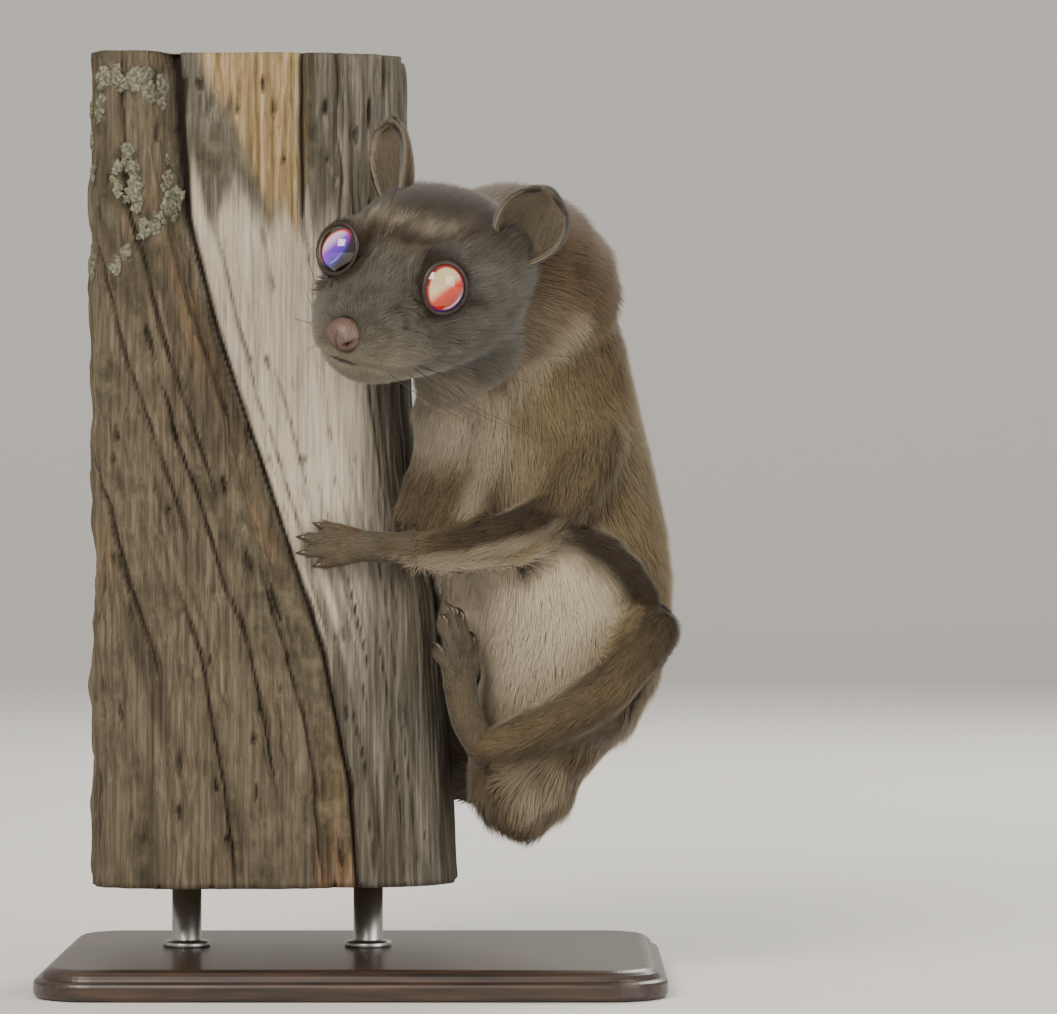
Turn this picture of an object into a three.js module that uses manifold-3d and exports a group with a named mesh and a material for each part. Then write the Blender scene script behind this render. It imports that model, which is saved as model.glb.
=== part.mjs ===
// A flying squirrel, life size and still, clinging upright to a cut length of a weathered split
// log. Two short rods hold the log over a flat base. Millimetres, +Z up. The origin is the centre
// of the base's underside, and the squirrel's face and left side are towards -Y.
import * as THREE from "three";
import { mergeVertices } from "three/addons/utils/BufferGeometryUtils.js";
import Module from "manifold-3d";

const wasm = await Module();
wasm.setup();

const point = (x, y, z) => new THREE.Vector3(x, y, z);
const degrees = THREE.MathUtils.degToRad;

// Driving sizes, with the fur on
const GAP = 0.3; // left between neighbouring solids
const HEAD_LENGTH = 44; // nose tip to the back of the head
const EYE = { radius: 5.8, opening: 5.5, lid: 0.6 };
const EAR = { width: 16, thick: 0.9 };
const TAIL = { core: 0.5, rows: 13, lockWidth: 3.8, lockThick: 0.9 };
const BASE = { width: 124, depth: 90, height: 6, corner: 12, bevel: 1 };
const ROD = { radius: 3, places: [[-35, 6], [2, 6]] };

// How the animal is turned: the belly faces between the log and the viewer, and the head looks
// at the viewer over its left shoulder, nodded and with its left side low.
const BODY_TURN = degrees(38);
const HEAD_TURN = degrees(-128.8);
const HEAD_NOD = degrees(17);
const HEAD_TILT = degrees(-17.1);
const HEAD_CENTRE = point(12.9, -38, 141);
const LEFT = point(Math.sin(BODY_TURN), -Math.cos(BODY_TURN), 0);

// Finishes
const finish = (color, roughness, metalness = 0) =>
  new THREE.MeshStandardMaterial({ color, roughness, metalness, flatShading: true });
const GREY_FUR = finish("#7b766b", 0.95);
const BROWN_FUR = finish("#7d6a50", 0.95);
const DARK_FUR = finish("#4e4234", 0.95);
const EAR_SKIN = finish("#8d7566", 0.8);
const NOSE_SKIN = finish("#a9857a", 0.6);
const EYE_GLASS = finish("#c2653a", 0.08);
const WEATHERED_WOOD = finish("#9a9184", 0.9);
const BASE_WOOD = finish("#3a2c22", 0.5);
const ROD_METAL = finish("#8c8c88", 0.35, 1);

// A closed geometry as a solid that can be joined and cut
function solid(geometry) {
  const bare = new THREE.BufferGeometry();
  bare.setAttribute("position", geometry.getAttribute("position"));
  bare.setIndex(geometry.index);
  const merged = mergeVertices(bare, 1e-4);
  return new wasm.Manifold(
    new wasm.Mesh({
      numProp: 3,
      vertProperties: merged.attributes.position.array,
      triVerts: new Uint32Array(merged.index.array),
    }),
  );
}

const join = (...solids) => solids.reduce((whole, piece) => whole.add(piece));
const cut = (body, ...tools) => tools.reduce((rest, tool) => rest.subtract(tool), body);

// The largest closed surface of a solid as a named mesh
function meshOf(name, body, material) {
  const pieces = body.decompose().sort((a, b) => b.volume() - a.volume());
  const { numProp, numVert, vertProperties, triVerts } = pieces[0].getMesh();
  const positions = new Float32Array(numVert * 3);
  for (let i = 0; i < numVert; i++) {
    positions.set(vertProperties.subarray(i * numProp, i * numProp + 3), i * 3);
  }
  const geometry = new THREE.BufferGeometry();
  geometry.setAttribute("position", new THREE.BufferAttribute(positions, 3));
  geometry.setIndex(new THREE.BufferAttribute(triVerts, 1));
  geometry.computeVertexNormals();
  const mesh = new THREE.Mesh(geometry, material);
  mesh.name = name;
  return mesh;
}

const part = new THREE.Group();
part.name = "flying_squirrel";

// Each piece is cut back, by the gap, from all the pieces that were set before it.
const grown = [];
function set(name, make, material) {
  part.add(meshOf(name, cut(make(0), ...grown), material));
  grown.push(make(GAP));
}

// A closed skin through rings of vertices. Rings run anticlockwise seen from the last one.
function skinOver(rings, first, last) {
  const around = rings[0].length;
  const positions = [...rings.flat(), first, last].flatMap((p) => [p.x, p.y, p.z]);
  const faces = [];
  const start = rings.length * around;
  const top = start - around;
  for (let i = 0; i < around; i++) {
    const next = (i + 1) % around;
    faces.push(start, next, i, start + 1, top + i, top + next);
    for (let r = 0; r < top; r += around) {
      faces.push(r + i, r + next, r + around + next, r + i, r + around + next, r + around + i);
    }
  }
  const geometry = new THREE.BufferGeometry();
  geometry.setAttribute("position", new THREE.Float32BufferAttribute(positions, 3));
  geometry.setIndex(faces);
  return geometry;
}

// A body through stations. Each is { at, side, wide, back, belly }: its centre, the way to its
// left, and its radii to the sides, to the back and to the belly. Boxy over 2 squares the section,
// swell(angle, t) scales it round its edge, and ahead keeps all the sections square to one way.
function loft(stations, { around, along, boxy = 2, grow = 0, tip = 0.4, swell = () => 1, ahead }) {
  const centres = new THREE.CatmullRomCurve3(stations.map((s) => s.at), false, "catmullrom");
  const sides = new THREE.CatmullRomCurve3(stations.map((s) => s.side), false, "catmullrom");
  const radii = stations.map((s) => point(s.wide, s.back ?? s.wide, s.belly ?? s.back ?? s.wide));
  const sizes = new THREE.CatmullRomCurve3(radii, false, "catmullrom");
  const bent = (value) => Math.sign(value) * Math.abs(value) ** (2 / boxy);
  const rings = [];
  for (let i = 0; i <= along; i++) {
    const t = i / along;
    const tangent = ahead ?? centres.getTangent(t);
    const side = sides.getPoint(t);
    side.addScaledVector(tangent, -side.dot(tangent)).normalize();
    const up = tangent.clone().cross(side);
    const size = sizes.getPoint(t).addScalar(grow);
    const ring = [];
    for (let j = 0; j < around; j++) {
      const angle = (2 * Math.PI * j) / around;
      const across = bent(Math.cos(angle)) * size.x * swell(angle, t);
      const rise = bent(Math.sin(angle)) * (Math.sin(angle) > 0 ? size.y : size.z) * swell(angle, t);
      ring.push(centres.getPoint(t).addScaledVector(side, across).addScaledVector(up, rise));
    }
    rings.push(ring);
  }
  const end = (t, way) =>
    centres.getPoint(t).addScaledVector(ahead ?? centres.getTangent(t), way * (grow + tip));
  return skinOver(rings, end(0, -1), end(1, 1));
}

// A limb with round ends through [x, y, z, radius] stations
function limb(places, side, grow) {
  const rows = places.map(([x, y, z, radius]) => ({ at: point(x, y, z), side, wide: radius }));
  const round = (row, next) => {
    const way = row.at.clone().sub(next.at).normalize();
    return { at: row.at.clone().addScaledVector(way, row.wide * 0.7), side, wide: row.wide * 0.5 };
  };
  const stations = [round(rows[0], rows[1]), ...rows, round(rows.at(-1), rows.at(-2))];
  return solid(loft(stations, { around: 10, along: 9, grow }));
}

// A ball stretched to three radii
const ball = (x, y, z, around = 20) =>
  new THREE.SphereGeometry(1, around, around / 2).scale(x, y, z);

// The cut length of log: a broad split slab of dead wood, sawn at both ends. Each station is its
// height and where its left, right, front and back faces lie.
const LOG_ENDS = { bottom: 20, top: 186 };
const LOG = [
  [14, -53, 21, -20, 31],
  [48, -52.5, 19, -20, 30],
  [77, -52, 17, -20, 29],
  [97, -51.5, 13.5, -20, 28.5],
  [117, -51, 11.5, -19.5, 28],
  [150, -50, 11, -19, 27],
  [192, -49, 10.5, -18.5, 26],
];
const logStations = LOG.map(([z, left, right, front, back]) => ({
  at: point((left + right) / 2, (front + back) / 2, z),
  side: point(1, 0, 0),
  wide: (right - left) / 2,
  back: (back - front) / 2,
}));
const ridges = (angle, t) =>
  1 + 0.012 * Math.sin(7 * angle + 3 * t) + 0.012 * Math.sin(11 * angle - 5 * t + 1) - 0.01 * Math.sin(9 * t);
// The rough brown wood stands proud of the bleached strip, with a crack between them. Each station
// is a height, the edge that they share there, and the crack's half width and depth.
const SPLIT = [
  [194, -37, 1.3, 6],
  [153, -34, 1.3, 6],
  [131, -28, 1.1, 5],
  [100, -17.5, 0.9, 5],
  [67, -6.5, 0.7, 4],
  [40, -1, 0.4, 2],
  [14, 1, 0.3, 1],
];
const rough = (grow) => {
  const slab = SPLIT.map(([z, edge]) => ({
    at: point((edge - 53) / 2, -8, z),
    side: point(1, 0, 0),
    wide: (edge + 53) / 2,
    back: 15,
  }));
  return solid(loft(slab, { around: 26, along: 8, boxy: 3.4, grow, swell: ridges }));
};
const crack = () => {
  const wedge = SPLIT.map(([z, edge, wide, back]) => ({
    at: point(edge + 0.6, -20, z),
    side: point(1, 0, 0),
    wide,
    back,
  }));
  return solid(loft(wedge, { around: 8, along: 10 }));
};
function log(grow) {
  const length = LOG_ENDS.top - LOG_ENDS.bottom + 2 * grow;
  const middle = (LOG_ENDS.top + LOG_ENDS.bottom) / 2;
  const saw = solid(new THREE.BoxGeometry(200, 200, length).translate(0, 0, middle));
  const whole = solid(loft(logStations, { around: 36, along: 7, boxy: 3.4, grow, swell: ridges }));
  return whole.add(rough(grow)).intersect(saw);
}

// Torso, from the rump up to the base of the neck
const TORSO = [
  [33.5, -3, 30.5, 6, 5, 6],
  [34, -3, 37, 11.5, 9.5, 12],
  [36.5, -2.5, 48, 14, 12, 14],
  [41.5, -3, 61, 19, 18, 18.5],
  [43.5, -3.5, 75, 21, 20, 21.5],
  [42, -4.5, 90, 20.5, 20.5, 22],
  [39, -6, 105, 19.5, 20.5, 22.5],
  [36.5, -8.5, 119, 19, 19.5, 21],
  [35, -12, 132, 17.5, 18, 16],
  [34, -14, 142, 12, 12, 9],
].map(([x, y, z, wide, back, belly]) => ({ at: point(x, y, z), side: LEFT, wide, back, belly }));
const torso = (grow) => solid(loft(TORSO, { around: 26, along: 16, boxy: 2.1, grow }));

// Neck, from inside the shoulders to inside the head
const NECK = [
  [38, -8, 122, 12, 12, 12],
  [35, -13, 134, 19, 20, 18],
  [30, -19, 141, 20, 19.5, 19],
  [22, -27, 143, 17, 15, 17],
  [15, -34, 142, 9, 8, 9],
].map(([x, y, z, wide, back, belly]) => ({ at: point(x, y, z), side: LEFT, wide, back, belly }));
const neck = (grow) => solid(loft(NECK, { around: 20, along: 8, grow }));

// The head is made in its own frame: x forward to the nose, y to its left, z up.
const headFrame = new THREE.Matrix4()
  .makeRotationFromEuler(new THREE.Euler(HEAD_TILT, HEAD_NOD, HEAD_TURN, "ZYX"))
  .setPosition(HEAD_CENTRE);
const inHead = (geometry) => solid(geometry.applyMatrix4(headFrame));

// Skull and muzzle in shares of the head's length: how far forward, half width, height over and
// depth under the section's own middle, and the height of that middle.
const SKULL = [
  [-0.47, 0.13, 0.13, 0.13, -0.012],
  [-0.4, 0.28, 0.26, 0.26, -0.016],
  [-0.268, 0.41, 0.34, 0.355, -0.02],
  [-0.107, 0.445, 0.365, 0.395, -0.027],
  [0.045, 0.43, 0.35, 0.39, -0.045],
  [0.18, 0.386, 0.315, 0.36, -0.075],
  [0.318, 0.33, 0.29, 0.28, -0.136],
  [0.41, 0.255, 0.24, 0.22, -0.18],
  [0.468, 0.18, 0.155, 0.175, -0.19],
  [0.505, 0.095, 0.08, 0.1, -0.19],
];
const skullStations = SKULL.map(([forward, wide, over, under, lift]) => ({
  at: point(forward, 0, lift).multiplyScalar(HEAD_LENGTH),
  side: point(0, 1, 0),
  wide: wide * HEAD_LENGTH,
  back: over * HEAD_LENGTH,
  belly: under * HEAD_LENGTH,
}));
const skull = (grow) =>
  loft(skullStations, { around: 24, along: 16, boxy: 2.1, grow, ahead: point(1, 0, 0) });

// Eyes and their lids, on both sides of the head
const EYE_PLACE = point(8, 11.5, 3.5);
const EYE_LOOK = point(0.7, 0.65, 0.3).normalize();
const SIDES = { left: 1, right: -1 };
const mirrored = (place, side) => point(place.x, place.y * side, place.z);
const eyeball = (side, radius) => {
  const { x, y, z } = mirrored(EYE_PLACE, side);
  return ball(radius, radius, radius, 14).translate(x, y, z);
};
function eyeOpening(side) {
  const reach = 12;
  const look = mirrored(EYE_LOOK, side);
  const turn = new THREE.Quaternion().setFromUnitVectors(point(0, 1, 0), look);
  const { x, y, z } = mirrored(EYE_PLACE, side);
  const shaft = new THREE.CylinderGeometry(EYE.opening, EYE.opening, reach, 16).translate(0, reach / 2, 0);
  return shaft.applyQuaternion(turn).translate(x, y, z);
}

// The line of the mouth round the front of the muzzle, and the cleft from it up to the nose: thin
// slots that stop a little under the surface
const MOUTH = { place: point(18.5, 0, -12.8), slope: degrees(12), wide: 0.5, deep: 1 };
function mouth() {
  const { x, y, z } = MOUTH.place;
  const line = new THREE.BoxGeometry(9, 26, MOUTH.wide).rotateY(-MOUTH.slope).translate(x, y, z);
  const cleft = new THREE.BoxGeometry(6, MOUTH.wide, 3.4).translate(x + 3, y, z + 2);
  return cut(join(inHead(line), inHead(cleft)), inHead(skull(-MOUTH.deep)));
}

function head(grow) {
  const orbits = Object.values(SIDES).map((side) =>
    inHead(eyeball(side, EYE.radius + GAP + EYE.lid + grow)),
  );
  const whole = join(inHead(skull(grow)), ...orbits);
  if (grow > 0) {
    return whole;
  }
  const sockets = Object.values(SIDES).flatMap((side) => [
    inHead(eyeball(side, EYE.radius + GAP)),
    inHead(eyeOpening(side)),
  ]);
  return cut(whole, ...sockets, mouth());
}

// Nose pad at the tip of the muzzle, with its two nostrils
const NOSE_PLACE = point(21.3, 0, -6.8);
function nose(grow) {
  const { x, y, z } = NOSE_PLACE;
  const pad = inHead(ball(2.6 + grow, 3.3 + grow, 3.1 + grow, 14).translate(x, y, z));
  if (grow > 0) {
    return pad;
  }
  const nostrils = Object.values(SIDES).map((side) =>
    inHead(ball(1, 0.6, 0.7, 8).translate(x + 1.9, 1.9 * side, z - 0.7)),
  );
  return cut(pad, ...nostrils);
}

// A thin sheet of even thickness over a curved surface(u, v), with u and v from 0 to 1
function sheet(surface, thick, across, along) {
  const step = 1e-3;
  const layer = (way) => {
    const points = [];
    for (let j = 0; j <= along; j++) {
      for (let i = 0; i <= across; i++) {
        const [u, v] = [i / across, j / along];
        const du = surface(u + step, v).sub(surface(u - step, v));
        const dv = surface(u, v + step).sub(surface(u, v - step));
        const normal = du.cross(dv).normalize();
        points.push(surface(u, v).addScaledVector(normal, (way * thick) / 2));
      }
    }
    return points;
  };
  const points = [...layer(1), ...layer(-1)];
  const row = across + 1;
  const under = row * (along + 1);
  const faces = [];
  for (let j = 0; j < along; j++) {
    for (let i = 0; i < across; i++) {
      const a = j * row + i;
      const [b, c, d] = [a + 1, a + row + 1, a + row];
      faces.push(a, b, c, a, c, d, under + a, under + c, under + b, under + a, under + d, under + c);
    }
  }
  const edge = [];
  for (let i = 0; i < across; i++) edge.push(i);
  for (let j = 0; j < along; j++) edge.push(j * row + across);
  for (let i = across; i > 0; i--) edge.push(along * row + i);
  for (let j = along; j > 0; j--) edge.push(j * row);
  edge.forEach((a, k) => {
    const b = edge[(k + 1) % edge.length];
    faces.push(a, under + a, under + b, a, under + b, b);
  });
  const geometry = new THREE.BufferGeometry();
  geometry.setAttribute("position", new THREE.Float32BufferAttribute(points.flatMap((p) => [p.x, p.y, p.z]), 3));
  geometry.setIndex(faces);
  return geometry;
}

// An ear: a thin cup, rolled nearly shut at its root and opening forwards and outwards. Its outline
// is given as shares of the width up the height.
const EARS = {
  left: { root: point(-11, 14.5, 4), tip: point(-13.5, 20.5, 18.5), open: point(0.8, 0.6, 0.1) },
  right: { root: point(-11, -13, 7), tip: point(-13, -17, 23.5), open: point(0.85, -0.4, 0.1) },
};
const EAR_OUTLINE = [[0.55, 0], [0.85, 0.2], [1, 0.42], [0.92, 0.66], [0.62, 0.88], [0.2, 1]];
function ear(name, grow) {
  const { root, tip, open } = EARS[name];
  const side = SIDES[name];
  const height = tip.distanceTo(root);
  const up = tip.clone().sub(root).normalize();
  const mouth = open.clone().addScaledVector(up, -open.dot(up)).normalize();
  const across = up.clone().cross(mouth);
  const outline = new THREE.CatmullRomCurve3(EAR_OUTLINE.map(([w, h]) => point(w, h, 0)), false, "catmullrom");
  const surface = (u, v) => {
    const { x: share, y: rise } = outline.getPoint(THREE.MathUtils.clamp(v, 0, 1));
    const roll = THREE.MathUtils.lerp(degrees(215), degrees(70), rise ** 0.7);
    const angle = (u - 0.5) * roll;
    const radius = (EAR.width * share) / roll;
    return root
      .clone()
      .addScaledVector(up, height * rise)
      .addScaledVector(across, radius * Math.sin(angle))
      .addScaledVector(mouth, radius * (1 - Math.cos(angle)) - 2.2 * share);
  };
  return inHead(sheet(surface, EAR.thick + 2 * grow, 8, 6));
}

// A paw: a palm with digits spread over the wood, each arched down to a curved claw. Forward is
// the way that the digits point, and away is the way out of the wood.
function paw({ heel, palm, forward, away, digits, radius, grow = 0 }) {
  const across = forward.clone().cross(away);
  const place = (from, ahead, out, beside = 0) =>
    from.clone().addScaledVector(forward, ahead).addScaledVector(away, out).addScaledVector(across, beside);
  const pad = [heel, ...palm].map(({ at, wide, thick }) => ({ at, side: across, wide, back: thick }));
  const pieces = [solid(loft(pad, { around: 10, along: 4, grow }))];
  const knuckles = palm.at(-1).at;
  digits.forEach(({ beside, splay, length, back = 0 }) => {
    const root = place(knuckles, -back, 0.3, beside);
    const way = forward.clone().multiplyScalar(Math.cos(splay)).addScaledVector(across, Math.sin(splay));
    const reach = (ahead, out) => root.clone().addScaledVector(way, ahead).addScaledVector(away, out);
    const bones = [
      { at: reach(-1.5, -0.2), wide: radius * 1.1 },
      { at: reach(length * 0.45, 0.7), wide: radius },
      { at: reach(length * 0.8, 0.2), wide: radius * 0.85 },
      { at: reach(length, -0.5), wide: radius * 0.75 },
    ];
    const claw = [
      { at: reach(length - 0.9, 0.2), wide: 0.62 },
      { at: reach(length + 1, 0.3), wide: 0.5 },
      { at: reach(length + 2.1, -0.5), wide: 0.33 },
      { at: reach(length + 2.7, -1.8), wide: 0.12 },
    ];
    const withSide = (stations) => stations.map((s) => ({ ...s, side: across }));
    pieces.push(solid(loft(withSide(bones), { around: 5, along: 3, grow })));
    pieces.push(solid(loft(withSide(claw), { around: 4, along: 3, grow, tip: 0.2 })));
  });
  return join(...pieces);
}

const FINGERS = [
  { beside: -2.1, splay: degrees(-25), length: 6, back: 1.5 },
  { beside: -0.8, splay: degrees(-8), length: 7.4 },
  { beside: 0.8, splay: degrees(9), length: 7.4 },
  { beside: 2.1, splay: degrees(27), length: 6, back: 1.5 },
];
const TOES = [
  { beside: -2.7, splay: degrees(-30), length: 6.5, back: 4 },
  { beside: -1.4, splay: degrees(-12), length: 8.6, back: 0.8 },
  { beside: 0, splay: 0, length: 9.2 },
  { beside: 1.4, splay: degrees(12), length: 8.8, back: 0.8 },
  { beside: 2.7, splay: degrees(30), length: 7, back: 4 },
];

// The four legs, as [x, y, z, radius] stations, and the paws they end in
const LIMBS = {
  upper_arm_left: { side: LEFT, places: [[45, -13, 116, 8], [46, -20, 108, 8.5], [42.5, -26, 98.5, 6.6]] },
  upper_arm_right: { side: LEFT, places: [[31, 0, 116, 8], [26, 7, 108, 7.5], [21.5, 11, 100, 5.8]] },
  thigh_left: { side: LEFT, places: [[44, -8, 58, 9], [51.5, -15.5, 65.5, 9], [58.5, -22, 71.5, 7]] },
  thigh_right: { side: LEFT, places: [[38, 1, 58, 9], [33, 10, 64, 10], [29, 17.5, 72, 7.2]] },
  forearm_left: {
    side: point(0, 0, 1),
    places: [[43.5, -26, 98, 5.4], [36, -27.5, 93, 4.6], [24, -27, 88.8, 3.9], [12, -25, 87.6, 3.3], [6, -23.8, 87.6, 3]],
  },
  forearm_right: {
    side: point(0, 1, 0),
    places: [[21.5, 10.5, 98.5, 5.4], [19.5, 13.5, 106, 4.8], [17, 16, 115, 3.6], [15.6, 17, 120, 3]],
  },
  shin_left: {
    side: point(0, 0, 1),
    places: [[60, -23.5, 72, 6.2], [54, -23.5, 63.5, 5.6], [47, -22.5, 57, 5.4], [38, -20, 52, 5], [31, -18.3, 49.2, 4.4], [26, -17, 48.2, 3.7]],
  },
  shin_right: {
    side: point(0, 1, 0),
    places: [[28, 18, 73, 6.2], [27.5, 18.5, 66, 5.6], [26, 18, 57, 4.4], [24, 17, 51, 3.6]],
  },
};
const legs = Object.fromEntries(
  Object.entries(LIMBS).map(([name, { side, places }]) => [name, (grow) => limb(places, side, grow)]),
);

const PAWS = {
  hand_left: {
    heel: { at: point(8, -23.8, 87.6), wide: 2.9, thick: 2.6 },
    palm: [
      { at: point(3, -22.8, 87.8), wide: 3.2, thick: 2.4 },
      { at: point(-1.5, -22.2, 88), wide: 3.3, thick: 2 },
    ],
    forward: point(-1, 0, 0),
    away: point(0, -1, 0),
    digits: FINGERS,
    radius: 1.3,
  },
  hand_right: {
    heel: { at: point(15.6, 17, 119), wide: 2.9, thick: 2.6 },
    palm: [
      { at: point(14.6, 17.2, 123), wide: 3.3, thick: 2.4 },
      { at: point(13.8, 17.4, 127), wide: 3.4, thick: 2 },
    ],
    forward: point(0, 0.05, 1).normalize(),
    away: point(1, 0, 0),
    digits: FINGERS,
    radius: 1.3,
  },
  foot_left: {
    heel: { at: point(25.4, -16.6, 46.6), wide: 3.2, thick: 3.1 },
    palm: [
      { at: point(22.4, -17.2, 54), wide: 3.6, thick: 3 },
      { at: point(20.4, -18.2, 65), wide: 4, thick: 2.6 },
    ],
    forward: point(-0.12, -0.08, 1).normalize(),
    away: point(0.75, -0.66, 0).normalize(),
    digits: TOES,
    radius: 1.35,
  },
  foot_right: {
    heel: { at: point(24, 17, 48.6), wide: 3.2, thick: 3.1 },
    palm: [
      { at: point(22.6, 17, 56), wide: 3.6, thick: 3 },
      { at: point(20.6, 17, 67), wide: 4, thick: 2.6 },
    ],
    forward: point(-0.08, 0.03, 1).normalize(),
    away: point(1, 0, 0),
    digits: TOES,
    radius: 1.35,
  },
};

// Gliding membrane: in front of the arm from throat to wrist, and the loose rolled hem that runs
// from the wrist along the flank to the ankle.
const stations = (side, rows) =>
  rows.map(([x, y, z, wide, back]) => ({ at: point(x, y, z), side, wide, back }));
const PROPATAGIUM = stations(point(1, 0, 0), [
  [26, -19, 126, 10, 5],
  [23, -21.5, 116, 11.5, 6],
  [22, -22.5, 106, 10.5, 6],
  [18.5, -23.5, 97, 10, 4.6],
  [15, -24, 91, 8.5, 2.6],
]);
const propatagium = (grow) => solid(loft(PROPATAGIUM, { around: 14, along: 7, grow }));
const HEM_LEFT = [
  { at: point(12, -24.6, 84), side: point(0, 0, 1), wide: 1.6, back: 1.6 },
  { at: point(22, -26, 84), side: point(0, 0, 1), wide: 1.8, back: 1.8 },
  { at: point(33, -26.5, 85.6), side: point(-0.3, 0, 1), wide: 2.2, back: 2 },
  { at: point(41, -26.8, 90.4), side: point(-0.6, 0, 1), wide: 2.6, back: 2.2 },
  { at: point(50.5, -25, 87), side: point(1, 0, 0.6), wide: 3.3, back: 2.8 },
  { at: point(58, -22.5, 77.5), side: point(1, 0, 0.2), wide: 3.6, back: 3 },
  { at: point(59, -26.5, 69), side: point(0.6, 0, -1), wide: 2.8, back: 2.6 },
];
const HEM_RIGHT = [
  { at: point(20, 13, 95), side: point(0, 1, 0), wide: 2, back: 1.8 },
  { at: point(25, 16, 88), side: point(0, 1, 0), wide: 4, back: 2.4 },
  { at: point(29, 17.5, 78), side: point(0, 1, 0), wide: 4.4, back: 3 },
  { at: point(27, 20, 68), side: point(0, 1, 0), wide: 3, back: 2.4 },
];
const hem = (places) => (grow) => solid(loft(places, { around: 8, along: 11, grow }));

// Tail: a flat plume that leaves the rump, turns behind the log and climbs its back. Each station
// has the way to its left edge, and its core reaches half way to the tips.
const TAIL_PATH = [
  { at: point(35, 0, 40), side: point(0.62, -0.79, 0), wide: 8, back: 7 },
  { at: point(34.5, 12, 38), side: point(0.3, -0.45, -0.85), wide: 7, back: 5 },
  { at: point(30.5, 25, 40), side: point(0, 0, -1), wide: 10, back: 4 },
  { at: point(21, 36, 44), side: point(0, 0, -1), wide: 12, back: 3.8 },
  { at: point(8, 41, 50), side: point(-0.1, 0, -1), wide: 12.5, back: 3.6 },
  { at: point(-8, 43, 59), side: point(-0.4, 0, -0.9), wide: 12.5, back: 3.4 },
  { at: point(-21, 43, 72), side: point(-0.6, 0, -0.8), wide: 11.5, back: 3.2 },
  { at: point(-30, 42, 87), side: point(-0.85, 0, -0.5), wide: 9.5, back: 2.6 },
  { at: point(-35, 41, 100), side: point(-0.95, 0, -0.3), wide: 3, back: 1 },
];
const tailPath = new THREE.CatmullRomCurve3(TAIL_PATH.map((s) => s.at), false, "catmullrom");
const tailEdge = new THREE.CatmullRomCurve3(TAIL_PATH.map((s) => s.side), false, "catmullrom");
const tailWidth = new THREE.CatmullRomCurve3(TAIL_PATH.map((s) => point(s.wide, s.back, 0)), false, "catmullrom");

// The same random numbers on every run
let seed = 7;
function random() {
  seed = (seed * 16807) % 2147483647;
  return seed / 2147483647;
}

// A flat tapered lock of hair that bends from one way towards another
function lock({ root, way, bend, flat, length, width, thick }) {
  const along = (share) =>
    root.clone().addScaledVector(way, length * share).addScaledVector(bend, length * 0.3 * share ** 2);
  const side = flat.clone().cross(way).normalize();
  const stations = [
    { at: along(-0.25), side, wide: width * 0.4, back: thick },
    { at: along(0.2), side, wide: width, back: thick },
    { at: along(0.65), side, wide: width * 0.8, back: thick * 0.75 },
    { at: along(1), side, wide: width * 0.2, back: thick * 0.35 },
  ];
  return solid(loft(stations, { around: 4, along: 3, tip: 0.3 }));
}

// The tail's coat: a thin core that reaches half way to the edges, and locks in overlapping tiers
// that sweep out to both edges and lie along the outer face.
function tail() {
  const core = TAIL_PATH.map((s) => ({ ...s, wide: s.wide * TAIL.core, back: Math.min(s.back * 0.75, 5) }));
  const pieces = [solid(loft(core, { around: 10, along: 14 }))];
  for (let i = 0; i < TAIL.rows; i++) {
    const t = 0.1 + (0.86 * (i + 0.5)) / TAIL.rows;
    const tangent = tailPath.getTangent(t);
    const edge = tailEdge.getPoint(t);
    edge.addScaledVector(tangent, -edge.dot(tangent)).normalize();
    const out = tangent.clone().cross(edge).negate();
    const { x: wide, y: back } = tailWidth.getPoint(t);
    const spread = THREE.MathUtils.lerp(degrees(52), degrees(18), t);
    for (const way of [-1, 1]) {
      for (const tier of [0, 1]) {
        const angle = spread * (1 - 0.3 * tier) * (0.9 + 0.2 * random());
        const start = wide * (tier === 0 ? 0.36 : 0.12);
        const reach = (wide * (tier === 0 ? 0.64 : 0.55)) / Math.sin(spread);
        const root = tailPath.getPoint(t + (tier * 0.43) / TAIL.rows);
        root.addScaledVector(edge, way * start).addScaledVector(out, back * (0.1 + 0.45 * tier));
        const lean = tangent.clone().multiplyScalar(Math.cos(angle)).addScaledVector(edge, way * Math.sin(angle));
        pieces.push(
          lock({
            root,
            way: lean.addScaledVector(out, 0.05 + 0.08 * tier).normalize(),
            bend: tangent,
            flat: out,
            length: reach * (0.85 + 0.2 * random()),
            width: TAIL.lockWidth * (0.85 + 0.3 * random()),
            thick: TAIL.lockThick,
          }),
        );
      }
    }
  }
  return join(...pieces);
}

// The tail is parted twice square to its length: beside the log and behind it. Beyond is the space
// past the parting at a station.
const TAIL_PARTINGS = [2, 5];
function beyondParting(station, gap) {
  const reach = 200;
  const way = TAIL_PATH[station + 1].at.clone().sub(TAIL_PATH[station - 1].at).normalize();
  const turn = new THREE.Quaternion().setFromUnitVectors(point(0, 0, 1), way);
  const space = new THREE.BoxGeometry(reach, reach, reach).translate(0, 0, reach / 2 + gap);
  const { x, y, z } = TAIL_PATH[station].at;
  return solid(space.applyQuaternion(turn).translate(x, y, z));
}

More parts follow.
